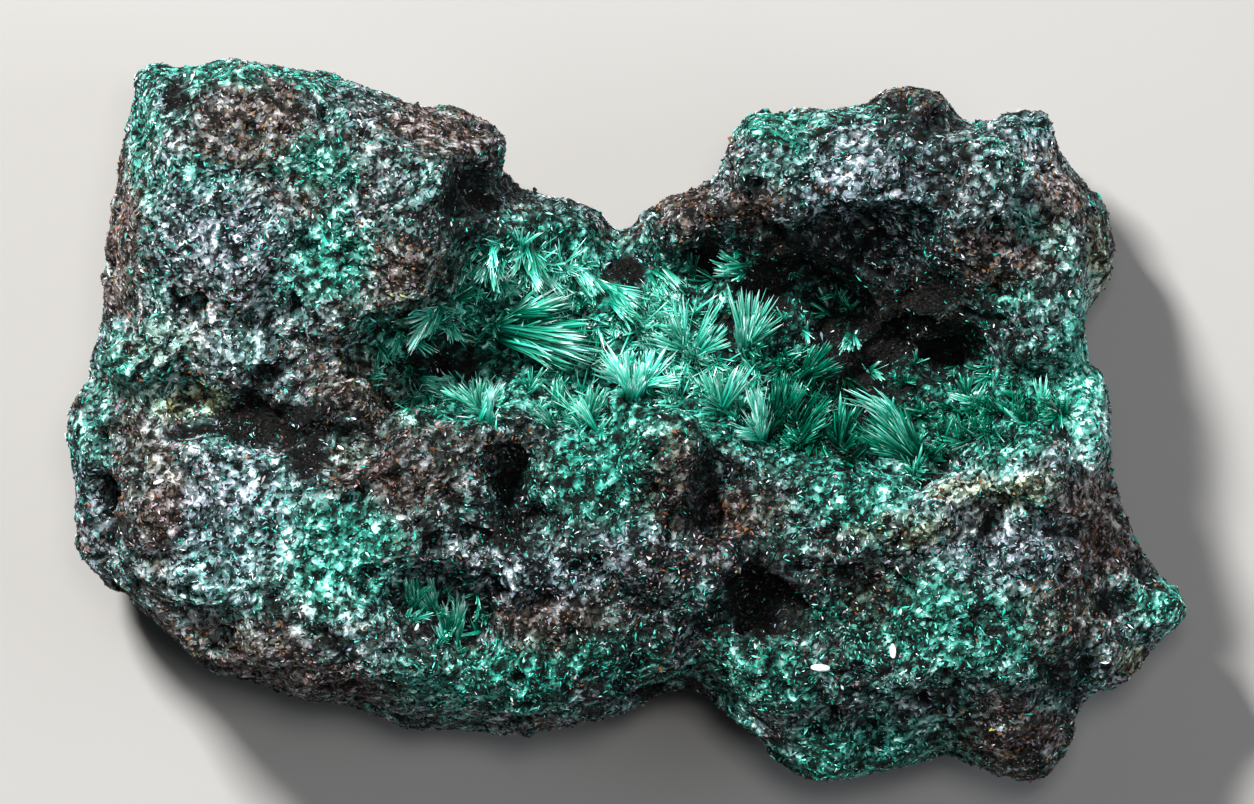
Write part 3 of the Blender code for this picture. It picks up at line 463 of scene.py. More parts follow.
def needle_material(settings):
    """Brochantite needles: emerald where they are thick and deep, paler towards their tips,
    with the glassy streaks of long flat faces. They darken to near black at their roots as
    painted shade among the crowded needles; the palest needles are painted highlight, and
    needles of paleness below zero are darkened as painted shade."""
    material, tree, shader = new_material("brochantite, acicular")
    along = add_node(tree, "ShaderNodeAttribute", {"attribute_name": "along"})
    pale = add_node(tree, "ShaderNodeAttribute", {"attribute_name": "pale"})
    green = add_node(tree, "ShaderNodeValToRGB", links={"Fac": along.outputs["Fac"]})
    # Near black at the root end: painted shade among the crowded needles
    ramp_stops(green, [(0.0, "#000a06"), (0.30, "#003324"), (0.74, "#007658"), (0.92, "#12a386"),
                       (1.0, "#9ae8da")])
    mint = add_node(tree, "ShaderNodeValToRGB", links={"Fac": along.outputs["Fac"]})
    ramp_stops(mint, [(0.0, "#024c3c"), (0.35, "#109d82"), (0.72, "#6adfcb"), (0.90, "#d0f8f1"),
                      (1.0, "#ffffff")])
    mix = add_node(tree, "ShaderNodeMix", {"data_type": "RGBA"})
    tree.links.new(pale.outputs["Fac"], mix.inputs[0])
    tree.links.new(green.outputs["Color"], mix.inputs[6])
    tree.links.new(mint.outputs["Color"], mix.inputs[7])
    tint = add_node(tree, "ShaderNodeMix", {"data_type": "RGBA", "blend_type": "MULTIPLY"})
    tint.inputs[0].default_value = 1.0
    # Paleness below zero darkens a needle: painted shade for the sprays in the dark east end of the vug
    shade = add_node(tree, "ShaderNodeMapRange",
                     inputs={"From Min": -1.0, "From Max": 0.0, "To Min": 0.1, "To Max": 1.0},
                     links={"Value": pale.outputs["Fac"]})
    shaded = add_node(tree, "ShaderNodeVectorMath", {"operation": "SCALE"})
    tree.links.new(mix.outputs[2], shaded.inputs[0])
    tree.links.new(shade.outputs["Result"], shaded.inputs["Scale"])
    tree.links.new(shaded.outputs[0], tint.inputs[6])
    tint.inputs[7].default_value = (*settings.needle_tint, 1.0)
    tree.links.new(tint.outputs[2], shader.inputs["Base Color"])
    shader.inputs["Roughness"].default_value = 0.20
    shader.inputs["IOR"].default_value = 1.42
    return material


def merged_copy(name, node):
    """A copy of a CAD node with its loose triangles joined."""
    mesh = bmesh.new()
    mesh.from_mesh(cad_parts[node].data)
    bmesh.ops.remove_doubles(mesh, verts=mesh.verts, dist=1e-6)
    data = bpy.data.meshes.new(name)
    mesh.to_mesh(data)
    mesh.free()
    obj = bpy.data.objects.new(name, data)
    bpy.context.scene.collection.objects.link(obj)
    return obj


def apply_modifiers(obj):
    graph = bpy.context.evaluated_depsgraph_get()
    mesh = bpy.data.meshes.new_from_object(obj.evaluated_get(graph))
    obj.modifiers.clear()
    obj.data = mesh


def tree_of(obj):
    mesh = bmesh.new()
    mesh.from_mesh(obj.data)
    tree = BVHTree.FromBMesh(mesh)
    mesh.free()
    return tree


def inside_shaded_voids(plan):
    """1 in the middle of a void, falling smoothly to 0 at its rim."""
    share = np.zeros(len(plan))
    for x, y, half_x, half_y in SHADED_VOIDS:
        away = ((plan[:, 0] - x) / half_x) ** 2 + ((plan[:, 1] - y) / half_y) ** 2
        share = np.maximum(share, np.clip(1.6 - 1.6 * away, 0.0, 1.0))
    return share


def field_at(x, y):
    """The densest field of tufts at a place in plan."""
    here = [
        field for field in FIELDS
        if ((x - field.x) / field.half_x) ** 2 + ((y - field.y) / field.half_y) ** 2 < 1.0
    ]
    return max(here, key=lambda field: field.density, default=FIELD_ELSEWHERE)


def tones_at(points):
    """How bright the ground is at each point: broad parts, some of them painted highlight and painted
    shade, and clusters of a few grains.
    """
    tones = np.array([
        noise.noise(Vector(p) / 0.0009) + 0.7 * noise.noise(Vector(p) / 0.00045) for p in points
    ]) * 0.62 - 0.08
    for tone in LIGHT_AND_TONE_PARTS:
        away = ((points[:, 0] - tone.x) / tone.half_x) ** 2
        away += ((points[:, 1] - tone.y) / tone.half_y) ** 2
        tones += tone.lift * np.exp(-0.9 * away ** 2)
    return tones


def ground_shares(points):
    """How much of each kind of ground is at each point."""
    shares = {kind: np.zeros(len(points)) for kind in KINDS}
    wobble = np.array([noise.noise_vector(Vector(p) / 0.0032)[:2] for p in points]) * 0.0013
    ragged = np.array([noise.noise_vector(Vector(p) / 0.0009)[:2] for p in points]) * 0.0007
    plan = points[:, :2] + wobble + ragged
    facing_up = np.clip((points[:, 2] - 0.008) / 0.010, 0.0, 1.0)
    for patch in PATCHES:
        away = ((plan[:, 0] - patch.x) / patch.half_x) ** 2
        away += ((plan[:, 1] - patch.y) / patch.half_y) ** 2
        shares[patch.kind] += 1.4 * patch.strength * np.exp(-1.1 * away ** 1.6) * facing_up
    mottle = np.array([noise.noise(Vector(p) / 0.0045) for p in points])
    fine = np.array([noise.noise(Vector(p) / 0.0021 + Vector((7, 3, 1))) for p in points])
    speck = np.array([noise.noise(Vector(p) / 0.0009 + Vector((1, 8, 4))) for p in points])
    pits = np.array([pit_depth(Vector(p)) for p in points])
    shares["green"] += 0.10 + 0.45 * np.clip(mottle + 0.6 * fine, 0, 1)
    shares["rust"] += 0.12 + 0.45 * np.clip(-mottle + 0.5 * fine, 0, 1)
    shares["ash"] += 0.22 + 0.50 * np.clip(fine + 0.5 * speck, 0, 1)
    # The dark share is black mineral, and painted shade in the weathered pits and in the voids of the vug
    shares["dark"] += 0.9 * np.clip(-fine - 0.8 * speck - 0.15, 0, 1) + 1.6 * pits
    shares["dark"] += 6.0 * inside_shaded_voids(plan)
    total = sum(shares.values())
    return {kind: share / total for kind, share in shares.items()}


def set_attribute(mesh, name, kind, values):
    attribute = mesh.attributes.new(name, kind, "POINT")
    field = "color" if kind == "FLOAT_COLOR" else "value"
    attribute.data.foreach_set(field, np.asarray(values, dtype=np.float32).ravel())


def pit_depth(place):
    """How deep a small weathered pit is at a place, from 0 at its rim to 1."""
    hollow = noise.noise(place / 0.0034 + Vector((11, 5, 2)))
    hollow += 0.5 * noise.noise(place / 0.0016)
    return min(max((hollow - 0.30) / 0.30, 0.0), 1.0)


def rough_lift(place):
    """How far the broken surface stands out at a place: small facets, grit and pits."""
    small = place / 0.0024
    centre = noise.voronoi(small)[1][0]
    lift = 0.55 * noise.noise_vector(centre * 3.3).dot(small - centre) + 0.25 * noise.noise(centre)
    fine = place / 0.0011
    centre = noise.voronoi(fine)[1][0]
    lift += 0.30 * noise.noise_vector(centre * 2.7).dot(fine - centre) + 0.16 * noise.noise(centre)
    return (lift - 0.95 * pit_depth(place)) * MM


class SpecimenSettings(bpy.types.PropertyGroup):
    """Sizes and colours of the specimen that a user may change."""

    rock_voxel: FloatProperty(
        name="Rock detail", description="Size of the rock's smallest facets",
        default=0.00048, min=0.0003, max=0.002, precision=5, unit="LENGTH",
    )
    grain_length: FloatProperty(
        name="Grain length", description="Mean length of the crystal grains on the rock",
        default=0.00037, min=0.0001, max=0.003, precision=5, unit="LENGTH",
    )
    face_grains: IntProperty(
        name="Grains on the face", description="How many crystal grains lie on the broken face",
        default=96000, min=0, max=120000,
    )
    back_grains: IntProperty(
        name="Grains on the back", description="How many grains lie on the sides and the back",
        default=23000, min=0, max=30000,
    )
    needle_width: FloatProperty(
        name="Needle width", description="Thickness of a needle",
        default=0.00015, min=0.00005, max=0.001, precision=5, unit="LENGTH",
    )
    needle_density: FloatProperty(
        name="Needle density", description="How dense the sprays are, against their own counts",
        default=1.9, min=0.1, max=3.0,
    )
    tufts: IntProperty(
        name="Small tufts", description="How many small tufts fill the vug between the sprays",
        default=520, min=0, max=900,
    )
    needle_tint: FloatVectorProperty(
        name="Needle tint", description="Colour that multiplies the needles' own greens",
        default=(1.0, 1.0, 1.0), min=0.0, max=2.0, subtype="COLOR",
    )
    floor_colour: FloatVectorProperty(
        name="Floor", description="Colour of the floor that the specimen lies on",
        default=linear("#8b8986")[:3], min=0.0, max=1.0, subtype="COLOR",
    )


class SPECIMEN_OT_rock(bpy.types.Operator):
    """Break the rock's surface into its fine facets and stain it"""

    bl_idname = "specimen.rock"
    bl_label = "Rock"

    def execute(self, context):
        settings = context.scene.specimen
        rock = merged_copy("rock_surface", "matrix")
        remesh = rock.modifiers.new("even faces", "REMESH")
        remesh.mode = "VOXEL"
        remesh.voxel_size = settings.rock_voxel
        apply_modifiers(rock)
        mesh = bmesh.new()
        mesh.from_mesh(rock.data)
        for _ in range(2):
            bmesh.ops.smooth_vert(mesh, verts=mesh.verts, factor=0.5, use_axis_x=True,
                                  use_axis_y=True, use_axis_z=True)
        mesh.normal_update()
        dark = ground_shares(np.array([vert.co for vert in mesh.verts]))["dark"]
        sinks = SLOT_DEPTH * np.clip(1.8 * dark - 0.5, 0, 1)
        lifts = [rough_lift(vert.co) - sink for vert, sink in zip(mesh.verts, sinks)]
        for vert, lift in zip(mesh.verts, lifts):
            vert.co += vert.normal * lift
            vert.co.z = max(vert.co.z, 0.0)
        mesh.to_mesh(rock.data)
        mesh.free()
        points = np.array([vert.co for vert in rock.data.vertices])
        shares = ground_shares(points)
        shares["green"] += shares["vug"]
        # The zone's alpha is the dark share: black mineral, with painted shade in cracks, pits and the
        # voids of the vug
        colours = np.stack([
            shares["green"] / (shares["green"] + shares["ash"]),
            shares["rust"] / (1 - shares["ochre"] + 1e-6), shares["ochre"],
            np.clip(shares["dark"] * 1.5 - 0.05, 0, 1),
        ], axis=1)
        set_attribute(rock.data, "zone", "FLOAT_COLOR", colours)
        set_attribute(rock.data, "tone", "FLOAT", tones_at(points))
        rock.data.materials.append(rock_material())
        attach(rock, ROOT)
        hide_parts("matrix")
        return {"FINISHED"}


def surface_samples(obj, count, rng, wanted):
    """Random points on obj's faces where wanted(centres, normals) gives their weight."""
    mesh = obj.data
    mesh.calc_loop_triangles()
    corners = np.zeros(len(mesh.loop_triangles) * 3, dtype=np.int64)
    mesh.loop_triangles.foreach_get("vertices", corners)
    places = np.array([vert.co for vert in mesh.vertices])
    a, b, c = (places[corners.reshape(-1, 3)[:, corner]] for corner in range(3))
    cross = np.cross(b - a, c - a)
    area = np.linalg.norm(cross, axis=1)
    normals = cross / np.maximum(area, 1e-18)[:, None]
    weights = area * wanted((a + b + c) / 3, normals)
    picked = rng.choice(len(area), count, p=weights / weights.sum())
    u, v = rng.random(count), rng.random(count)
    flip = u + v > 1
    u[flip], v[flip] = 1 - u[flip], 1 - v[flip]
    points = a[picked] + (b - a)[picked] * u[:, None] + (c - a)[picked] * v[:, None]
    return points, normals[picked]


def grain_template():
    """A shard that is three-sided and pointed at both ends: six faces."""
    mesh = bmesh.new()
    bmesh.ops.create_cone(mesh, cap_ends=True, segments=3, radius1=0.5, radius2=0.0, depth=0.6)
    base = min(mesh.faces, key=lambda face: face.calc_center_median().z)
    tip = bmesh.ops.poke(mesh, faces=[base])["verts"][0]
    tip.co.z = -0.6
    return template_arrays(mesh)


def needle_template():
    """A four-sided needle that narrows to a point: nine corners, with its root open."""
    mesh = bmesh.new()
    bmesh.ops.create_cone(mesh, cap_ends=True, segments=4, radius1=0.5, radius2=0.34, depth=0.86)
    bmesh.ops.translate(mesh, verts=mesh.verts, vec=(0, 0, 0.43))
    top = [f for f in mesh.faces if f.normal.z > 0.9]
    tip = bmesh.ops.poke(mesh, faces=top)["verts"][0]
    tip.co.z = 1.0
    bottom = [f for f in mesh.faces if f.normal.z < -0.9]
    bmesh.ops.delete(mesh, geom=bottom, context="FACES_ONLY")
    return template_arrays(mesh)


def template_arrays(mesh):
    """The corners of a small mesh, and its triangles."""
    bmesh.ops.triangulate(mesh, faces=mesh.faces)
    mesh.verts.index_update()
    corners = np.array([vert.co for vert in mesh.verts])
    triangles = np.array([[vert.index for vert in face.verts] for face in mesh.faces])
    mesh.free()
    return corners, triangles


def frames_along(directions, rng):
    """For each direction, two unit vectors across it, turned at random."""
    helper = np.where(np.abs(directions[:, 2:3]) < 0.9, [[0.0, 0.0, 1.0]], [[1.0, 0.0, 0.0]])
    across = np.cross(directions, helper)
    across /= np.linalg.norm(across, axis=1)[:, None]
    other = np.cross(directions, across)
    turn = rng.random(len(directions)) * math.tau
    first = across * np.cos(turn)[:, None] + other * np.sin(turn)[:, None]
    return first, np.cross(directions, first)


def scatter(name, template, roots, directions, lengths, widths, flats, rng, attributes):
    """One mesh of many copies of a template, each at a root, along a direction."""
    corners, triangles = template
    first, second = frames_along(directions, rng)
    places = roots[:, None, :] + (
        corners[None, :, 0:1] * (first * widths[:, None])[:, None, :]
        + corners[None, :, 1:2] * (second * (widths * flats)[:, None])[:, None, :]
        + corners[None, :, 2:3] * (directions * lengths[:, None])[:, None, :]
    )
    count = len(roots)
    offsets = np.arange(count) * len(corners)
    faces = (triangles[None] + offsets[:, None, None]).reshape(-1, 3)
    mesh = bpy.data.meshes.new(name)
    mesh.vertices.add(count * len(corners))
    mesh.vertices.foreach_set("co", places.astype(np.float32).ravel())
    mesh.loops.add(len(faces) * 3)
    mesh.loops.foreach_set("vertex_index", faces.astype(np.int32).ravel())
    mesh.polygons.add(len(faces))
    mesh.polygons.foreach_set("loop_start", np.arange(len(faces), dtype=np.int32) * 3)
    mesh.update(calc_edges=True)
    mesh.shade_flat()
    for label, values in attributes.items():
        values = np.repeat(values, len(corners)) if values.ndim == 1 else values.ravel()
        set_attribute(mesh, label, "FLOAT", values)
    obj = bpy.data.objects.new(name, mesh)
    bpy.context.scene.collection.objects.link(obj)
    return obj


def pick_kinds(points, rng):
    """What each grain is made of, by the ground that it lies on."""
    shares = ground_shares(points)
    kinds = list(GROUND)
    odds = np.stack([shares[kind] ** 2.0 for kind in kinds], axis=1)
    odds /= odds.sum(axis=1)[:, None]
    draw = rng.random(len(points))[:, None]
    ground = (odds.cumsum(axis=1) < draw).sum(axis=1)
    tones = tones_at(points)
    picked = np.zeros(len(points), dtype=int)
    for number, kind in enumerate(kinds):
        here = np.flatnonzero(ground == number)
        minerals = np.array(list(GROUND[kind]))
        often = np.array(list(GROUND[kind].values()), dtype=float)
        lean = np.array([BRIGHTNESS[mineral] for mineral in minerals]) - MIDDLE_BRIGHTNESS
        # Grains lean bright or dark with the tone, which holds painted highlight and painted shade as
        # well as clusters of grains
        odds = often * np.exp(CLUSTERING * tones[here, None] * lean)
        odds = odds.cumsum(axis=1) / odds.sum(axis=1)[:, None]
        picked[here] = minerals[(odds < rng.random(len(here))[:, None]).sum(axis=1)]
    return picked


def add_grains(name, points, normals, length, rng, material):
    kinds = pick_kinds(points, rng)
    count = len(points)
    loose = rng.normal(size=(count, 3))
    tangent = loose - normals * np.sum(loose * normals, axis=1)[:, None]
    tangent /= np.linalg.norm(tangent, axis=1)[:, None]
    lean = rng.uniform(0.0, 0.55, count)[:, None]
    directions = tangent * (1 - lean) + normals * lean
    directions /= np.linalg.norm(directions, axis=1)[:, None]
    crystal = kinds >= DEEP
    lengths = length * np.where(crystal, 1.0, 0.8) * rng.lognormal(0.0, 0.34, count)
    lengths = np.minimum(lengths, 2.4 * length)
    widths = np.where(crystal, 0.34, 0.72) * lengths * rng.uniform(0.6, 1.2, count)
    flats = rng.uniform(0.35, 1.0, count)
    roots = points + normals * (widths * 0.12)[:, None]
    roots[:, 2] = np.maximum(roots[:, 2], 0.5 * lengths)
    grains = scatter(name, grain_template(), roots, directions, lengths, widths, flats, rng,
                     {"kind": kinds * GRAIN_STEP + GRAIN_STEP / 2})
    grains.data.materials.append(material)
    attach(grains, ROOT)
    return grains


class SPECIMEN_OT_grains(bpy.types.Operator):
    """Crust the rock with fine crystal grains"""

    bl_idname = "specimen.grains"
    bl_label = "Crystal grains"

    def execute(self, context):
        settings = context.scene.specimen
        rock = bpy.data.objects["rock_surface"]
        rng = np.random.default_rng(SEED)
        material = grain_material()

        def face_weight(centres, normals):
            return np.clip((centres[:, 2] - 0.009) / 0.006, 0.0, 1.0) * (normals[:, 2] > -0.2)

        def back_weight(centres, normals):
            return 1.02 - face_weight(centres, normals)

        points, normals = surface_samples(rock, settings.face_grains, rng, face_weight)
        bands = np.array_split(np.argsort(points[:, 0], kind="stable"), 4)
        for number, band in enumerate(bands, start=1):
            add_grains(f"druse_face_{number}", points[band], normals[band],
                       settings.grain_length, rng, material)
        points, normals = surface_samples(rock, settings.back_grains, rng, back_weight)
        add_grains("druse_back", points, normals, settings.grain_length * 1.25, rng, material)
        return {"FINISHED"}


def white_grain_material():
    """Gypsum cleaved in slips: white, with the soft shine of its cleavage and faint cloudiness."""
    material, tree, shader = new_material("gypsum, cleaved")
    place = add_node(tree, "ShaderNodeTexCoord").outputs["Object"]
    cloud = add_node(tree, "ShaderNodeTexNoise", inputs={"Scale": 1 / (0.3 * MM)},
                     links={"Vector": place})
    white = add_node(tree, "ShaderNodeValToRGB", links={"Fac": cloud.outputs["Fac"]})
    ramp_stops(white, [(0.3, "#b9d6d4"), (0.6, "#fbfdfd")])
    tree.links.new(white.outputs["Color"], shader.inputs["Base Color"])
    shader.inputs["Roughness"].default_value = 0.35
    return material


class SPECIMEN_OT_white_grains(bpy.types.Operator):
    """Lay the few white crystals on the face"""

    bl_idname = "specimen.white_grains"
    bl_label = "White crystals"

    def execute(self, context):
        rock_tree = tree_of(bpy.data.objects["rock_surface"])
        mesh = bmesh.new()
        for grain in WHITE_GRAINS:
            place, normal = rock_tree.ray_cast(Vector((grain.x, grain.y, 0.1)), DOWN)[:2]
            if place is None:
                raise RuntimeError("a white crystal has no rock under it")
            made = bmesh.ops.create_icosphere(mesh, subdivisions=2, radius=0.5)["verts"]
            thick = grain.length * WHITE_GRAIN_FLATNESS
            bmesh.ops.scale(mesh, verts=made, vec=(grain.length, thick, thick))
            bmesh.ops.rotate(mesh, verts=made, cent=(0, 0, 0),
                             matrix=Matrix.Rotation(math.radians(grain.bearing), 3, "Z"))
            tilt = UP.rotation_difference((normal + UP).normalized()).to_matrix()
            bmesh.ops.rotate(mesh, verts=made, cent=(0, 0, 0), matrix=tilt)
            bmesh.ops.translate(mesh, verts=made, vec=place + normal * thick * 0.4)
        data = bpy.data.meshes.new("white_grains")
        mesh.to_mesh(data)
        mesh.free()
        grains = bpy.data.objects.new("white_grains", data)
        context.scene.collection.objects.link(grains)
        data.materials.append(white_grain_material())
        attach(grains, ROOT)
        return {"FINISHED"}


def cone_directions(axis, spread, count, rng):
    """Directions within spread degrees of an axis, more of them near the axis."""
    axis = np.array(axis.normalized())
    helper = np.array([0.0, 0.0, 1.0]) if abs(axis[2]) < 0.9 else np.array([1.0, 0.0, 0.0])
    first = np.cross(axis, helper)
    first /= np.linalg.norm(first)
    second = np.cross(axis, first)
    fan = math.radians(spread) * np.sqrt(rng.random(count))
    turn = rng.random(count) * math.tau
    return (
        axis * np.cos(fan)[:, None]
        + first * (np.sin(fan) * np.cos(turn))[:, None]
        + second * (np.sin(fan) * np.sin(turn))[:, None]
    )


# Needles grow in bundles of near-parallel ones, each with its own root patch
BUNDLE_COUNT = 18
BUNDLE_SPREAD = 11.0
BUNDLE_ROOT = 0.00010
SHORTEST_NEEDLE = 0.0007
# The share of needles painted pale along their whole length: painted highlight for needles that catch the
# light
BRIGHT_NEEDLES = 0.20


def needles_of(spray, rock_tree, rng, axis=None, patch=0.00035, density=1.0):
    """The needles of one spray: roots, directions, lengths and how pale each one is."""
    if axis is None:
        bearing, climb = math.radians(spray.bearing), math.radians(spray.climb)
        axis = Vector((math.cos(bearing) * math.cos(climb),
                       math.sin(bearing) * math.cos(climb), math.sin(climb)))
    bundles = max(5, round(spray.count / BUNDLE_COUNT))
    kept = []
    for lead in cone_directions(axis, spray.spread, bundles, rng):
        spot = rng.normal((spray.x, spray.y), patch)
        longest = spray.reach * rng.uniform(0.62, 1.0)
        tone = rng.normal(spray.pale, 0.2)
        fan = rng.uniform(0.5, 1.4) * BUNDLE_SPREAD
        count = round(density * spray.count / bundles)
        for way in cone_directions(Vector(lead), fan, count, rng):
            kept.append(needle_row(spot, Vector(way), longest, tone, rock_tree, rng))
    return [row for row in kept if row]


def needle_row(spot, way, longest, tone, rock_tree, rng):
    """One needle: its root on the rock, direction, length and paleness, or nothing."""
    x, y = rng.normal(spot, BUNDLE_ROOT)
    root = rock_tree.ray_cast(Vector((x, y, 0.1)), Vector((0, 0, -1)))[0]
    if root is None:
        return None
    reach = longest * rng.uniform(0.38, 1.0)
    for _ in range(4):
        if rock_tree.ray_cast(root + way * 0.0004, way, reach)[3] is None:
            break
        way = (way + Vector((0, 0, 0.22))).normalized()
    hit = rock_tree.ray_cast(root + way * 0.0004, way, reach)[3]
    if hit is not None:
        reach = hit + 0.0004
    if reach < SHORTEST_NEEDLE:
        return None
    # Most needles fall a little darker; the rest are made pale as painted highlight
    tone += rng.normal(-0.10, 0.12) if rng.random() > BRIGHT_NEEDLES else rng.uniform(0.3, 0.8)
    return (*root, *way, reach, np.clip(tone, -1, 1))


def add_needles(name, rows, width, rng, material, node=None):
    rows = np.array(rows)
    count = len(rows)
    template = needle_template()
    corner_heights = template[0][:, 2]
    widths = width * rng.lognormal(0.0, 0.42, count) * (rows[:, 6] / 0.004) ** 0.3
    along = np.repeat(corner_heights[None], count, axis=0) * rng.uniform(0.75, 1.1, count)[:, None]
    pale = np.repeat(rows[:, 7:8], len(corner_heights), axis=1)
    needles = scatter(name, template, rows[:, 0:3] - rows[:, 3:6] * 0.0002, rows[:, 3:6],
                      rows[:, 6], widths, rng.uniform(0.45, 1.0, count), rng,
                      {"along": along, "pale": pale})
    needles.data.materials.append(material)
    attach(needles, ROOT)
    if node:
        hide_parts(node)
    return needles


def tuft_rows(rock, rock_tree, node, count, reach, rng):
    """Small tufts that stand out of the floor of a hollow, over a node's footprint."""
    low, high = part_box(node)
    footprint = tree_of(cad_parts[node])

    def over_crust(centres, normals):
        inside = (centres[:, 0] > low.x) & (centres[:, 0] < high.x)
        inside &= (centres[:, 1] > low.y) & (centres[:, 1] < high.y)
        inside &= normals[:, 2] > 0.05
        weight = np.zeros(len(centres))
        for number in np.flatnonzero(inside):
            start = Vector((centres[number, 0], centres[number, 1], 0.1))
            if footprint.ray_cast(start, Vector((0, 0, -1)))[0] is not None:
                weight[number] = field_at(*centres[number, :2]).density
        return weight * (1.0 - inside_shaded_voids(centres))

    points, normals = surface_samples(rock, count, rng, over_crust)
    rows = []
    for point, normal in zip(points, normals):
        field = field_at(*point[:2])
        size, count = reach * rng.uniform(0.5, 1.3), int(rng.integers(16, 34))
        spread, pale = 55, rng.normal(field.pale, 0.15)
        if field.density >= DENSE and rng.random() < STRAND_SHARE:
            size, count, spread, pale = STRAND_REACH * rng.uniform(0.6, 1.0), 7, 80, 0.9
        spray = Spray(point[0], point[1], 0, 0, size, spread, count, pale)
        axis = Vector(normal) + Vector((0, 0, 0.5)) + Vector(rng.normal(0.0, 0.35, 3))
        rows += needles_of(spray, rock_tree, rng, axis.normalized(), patch=0.00012)
    return rows


class SPECIMEN_OT_vug_needles(bpy.types.Operator):
    """Fill the vug with its sprays and small tufts of needles"""

    bl_idname = "specimen.vug_needles"
    bl_label = "Vug needles"

    def execute(self, context):
        settings = context.scene.specimen
        rock = bpy.data.objects["rock_surface"]
        rock_tree = tree_of(rock)
        rng = np.random.default_rng(SEED + 1)
        material = needle_material(settings)
        rows = []
        for spray in VUG_SPRAYS:
            rows += needles_of(spray, rock_tree, rng, density=settings.needle_density)
        rows += tuft_rows(rock, rock_tree, "vug_crystal_crust", settings.tufts, 0.0024, rng)
        rows.sort()
        half = len(rows) // 2
        add_needles("vug_needles_west", rows[:half], settings.needle_width, rng, material,
                    "vug_crystal_crust")
        add_needles("vug_needles_east", rows[half:], settings.needle_width, rng, material,
                    "vug_crystal_crust")
        return {"FINISHED"}


class SPECIMEN_OT_pocket_needles(bpy.types.Operator):
    """Fill the small pocket of the lower left with its needles"""

    bl_idname = "specimen.pocket_needles"
    bl_label = "Pocket needles"

    def execute(self, context):
        settings = context.scene.specimen
        rock = bpy.data.objects["rock_surface"]
        rock_tree = tree_of(rock)
        rng = np.random.default_rng(SEED + 2)
        rows = []
        for spray in POCKET_SPRAYS:
            rows += needles_of(spray, rock_tree, rng, density=settings.needle_density)
        rows += tuft_rows(rock, rock_tree, "pocket_crystal_crust", 24, 0.0020, rng)
        add_needles("pocket_needles", rows, settings.needle_width,
                    rng, bpy.data.materials["brochantite, acicular"], "pocket_crystal_crust")
        return {"FINISHED"}


def area_light(name, place, aim, size, power, colour):
    light = bpy.data.lights.new(name, "AREA")
    light.size = size
    light.energy = power
    light.color = linear(colour)[:3]
    obj = bpy.data.objects.new(name, light)
    obj.location = place
    obj.rotation_euler = (Vector(place) - Vector(aim)).to_track_quat("Z", "Y").to_euler()
    bpy.context.scene.collection.objects.link(obj)
    return obj


def floor_material(colour):
    """Painted board: a matt, even, faintly mottled surface."""
    material, tree, shader = new_material("matt painted board")
    place = add_node(tree, "ShaderNodeTexCoord").outputs["Object"]
    mottle = add_node(tree, "ShaderNodeTexNoise", inputs={"Scale": 1 / (40 * MM), "Detail": 2.0},
                      links={"Vector": place})
    shade = add_node(tree, "ShaderNodeMapRange", inputs={"To Min": 0.97, "To Max": 1.03},
                     links={"Value": mottle.outputs["Fac"]})
    tint = add_node(tree, "ShaderNodeVectorMath", {"operation": "SCALE"},
                    {0: tuple(colour)})
    tree.links.new(shade.outputs["Result"], tint.inputs["Scale"])
    tree.links.new(tint.outputs[0], shader.inputs["Base Color"])
    shader.inputs["Roughness"].default_value = 0.9
    return material


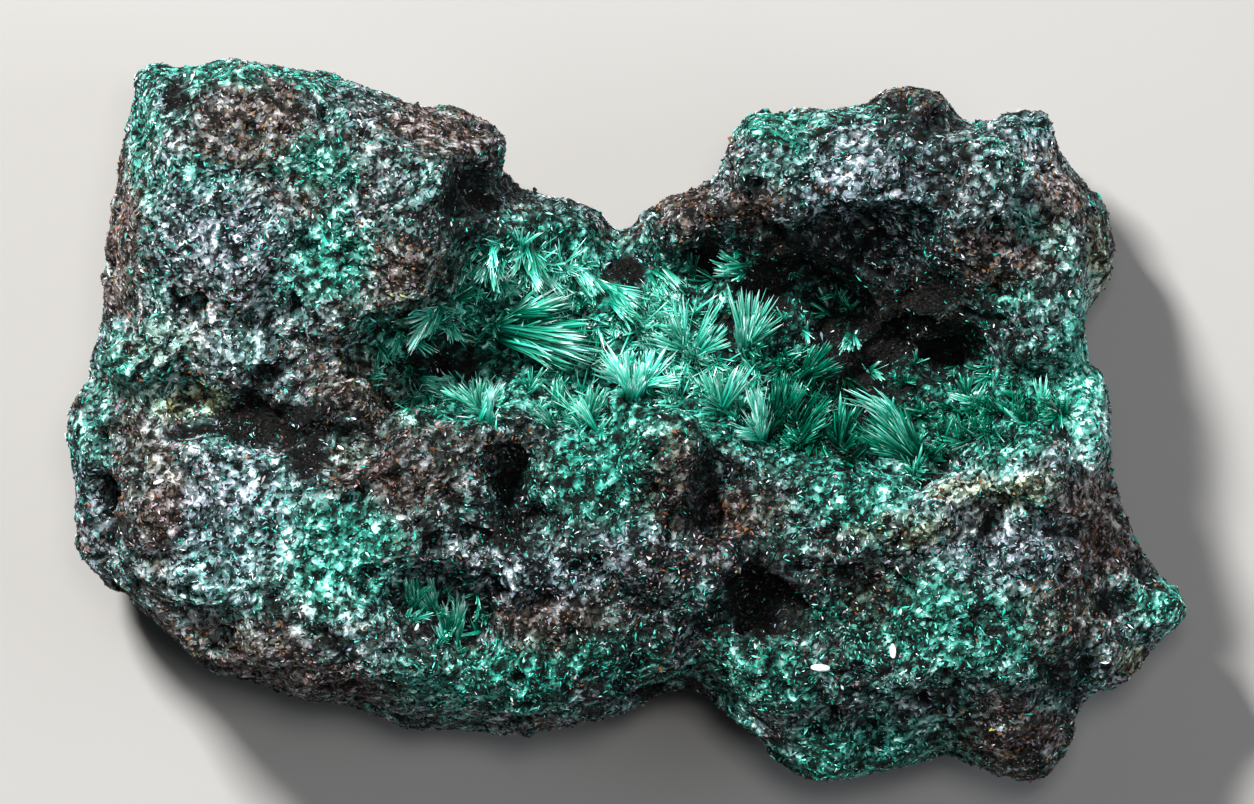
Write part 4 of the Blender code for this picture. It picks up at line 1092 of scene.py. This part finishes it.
class SPECIMEN_OT_stage(bpy.types.Operator):
    """Set the floor, the soft light and the camera that looks straight down"""

    bl_idname = "specimen.stage"
    bl_label = "Stage"

    def execute(self, context):
        scene = context.scene
        mesh = bmesh.new()
        bmesh.ops.create_grid(mesh, x_segments=1, y_segments=1, size=1.5)
        data = bpy.data.meshes.new("floor")
        mesh.to_mesh(data)
        mesh.free()
        floor = bpy.data.objects.new("floor", data)
        scene.collection.objects.link(floor)
        floor.data.materials.append(floor_material(scene.specimen.floor_colour))

        centre = (0.0, 0.0, 0.015)
        area_light("key", (-0.25, 0.36, 0.55), centre, 0.10, 14.0, "#ffffff")
        area_light("fill", (0.45, -0.05, 0.45), centre, 0.30, 1.6, "#eef4ff")
        area_light("overhead", (0.05, 0.10, 0.95), centre, 0.15, 3.0, "#ffffff")
        world = bpy.data.worlds.new("soft room")
        world.use_nodes = True
        sky = world.node_tree.nodes["Background"]
        sky.inputs["Color"].default_value = linear("#d4d8dc")
        sky.inputs["Strength"].default_value = 0.07
        scene.world = world

        camera = bpy.data.cameras.new("camera")
        camera.sensor_width = SENSOR
        camera.lens = SENSOR * CAMERA_DISTANCE / FRAME_WIDTH
        camera.clip_end = 10.0
        view = bpy.data.objects.new("camera", camera)
        view.location = (*FRAME_CENTRE, SECTION_HEIGHT + CAMERA_DISTANCE)
        scene.collection.objects.link(view)
        scene.camera = view
        scene.view_settings.view_transform = "Standard"
        return {"FINISHED"}


OPERATORS = (
    SPECIMEN_OT_rock, SPECIMEN_OT_grains, SPECIMEN_OT_white_grains, SPECIMEN_OT_vug_needles,
    SPECIMEN_OT_pocket_needles, SPECIMEN_OT_stage,
)


class SPECIMEN_PT_panel(bpy.types.Panel):
    """Lists the specimen's settings and the steps that make it"""

    bl_idname = "SPECIMEN_PT_panel"
    bl_label = "Brochantite specimen"
    bl_space_type = "VIEW_3D"
    bl_region_type = "UI"
    bl_category = "Specimen"

    def draw(self, context):
        settings = context.scene.specimen
        for name in SpecimenSettings.__annotations__:
            self.layout.prop(settings, name)
        for operator in OPERATORS:
            self.layout.operator(operator.bl_idname)


def register():
    for kind in (SpecimenSettings, *OPERATORS, SPECIMEN_PT_panel):
        bpy.utils.register_class(kind)
    bpy.types.Scene.specimen = bpy.props.PointerProperty(type=SpecimenSettings)


def unregister():
    del bpy.types.Scene.specimen
    for kind in reversed((SpecimenSettings, *OPERATORS, SPECIMEN_PT_panel)):
        bpy.utils.unregister_class(kind)


def main():
    register()
    bpy.ops.specimen.rock()
    bpy.ops.specimen.grains()
    bpy.ops.specimen.white_grains()
    bpy.ops.specimen.vug_needles()
    bpy.ops.specimen.pocket_needles()
    bpy.ops.specimen.stage()


if __name__ == "__main__":
    main()
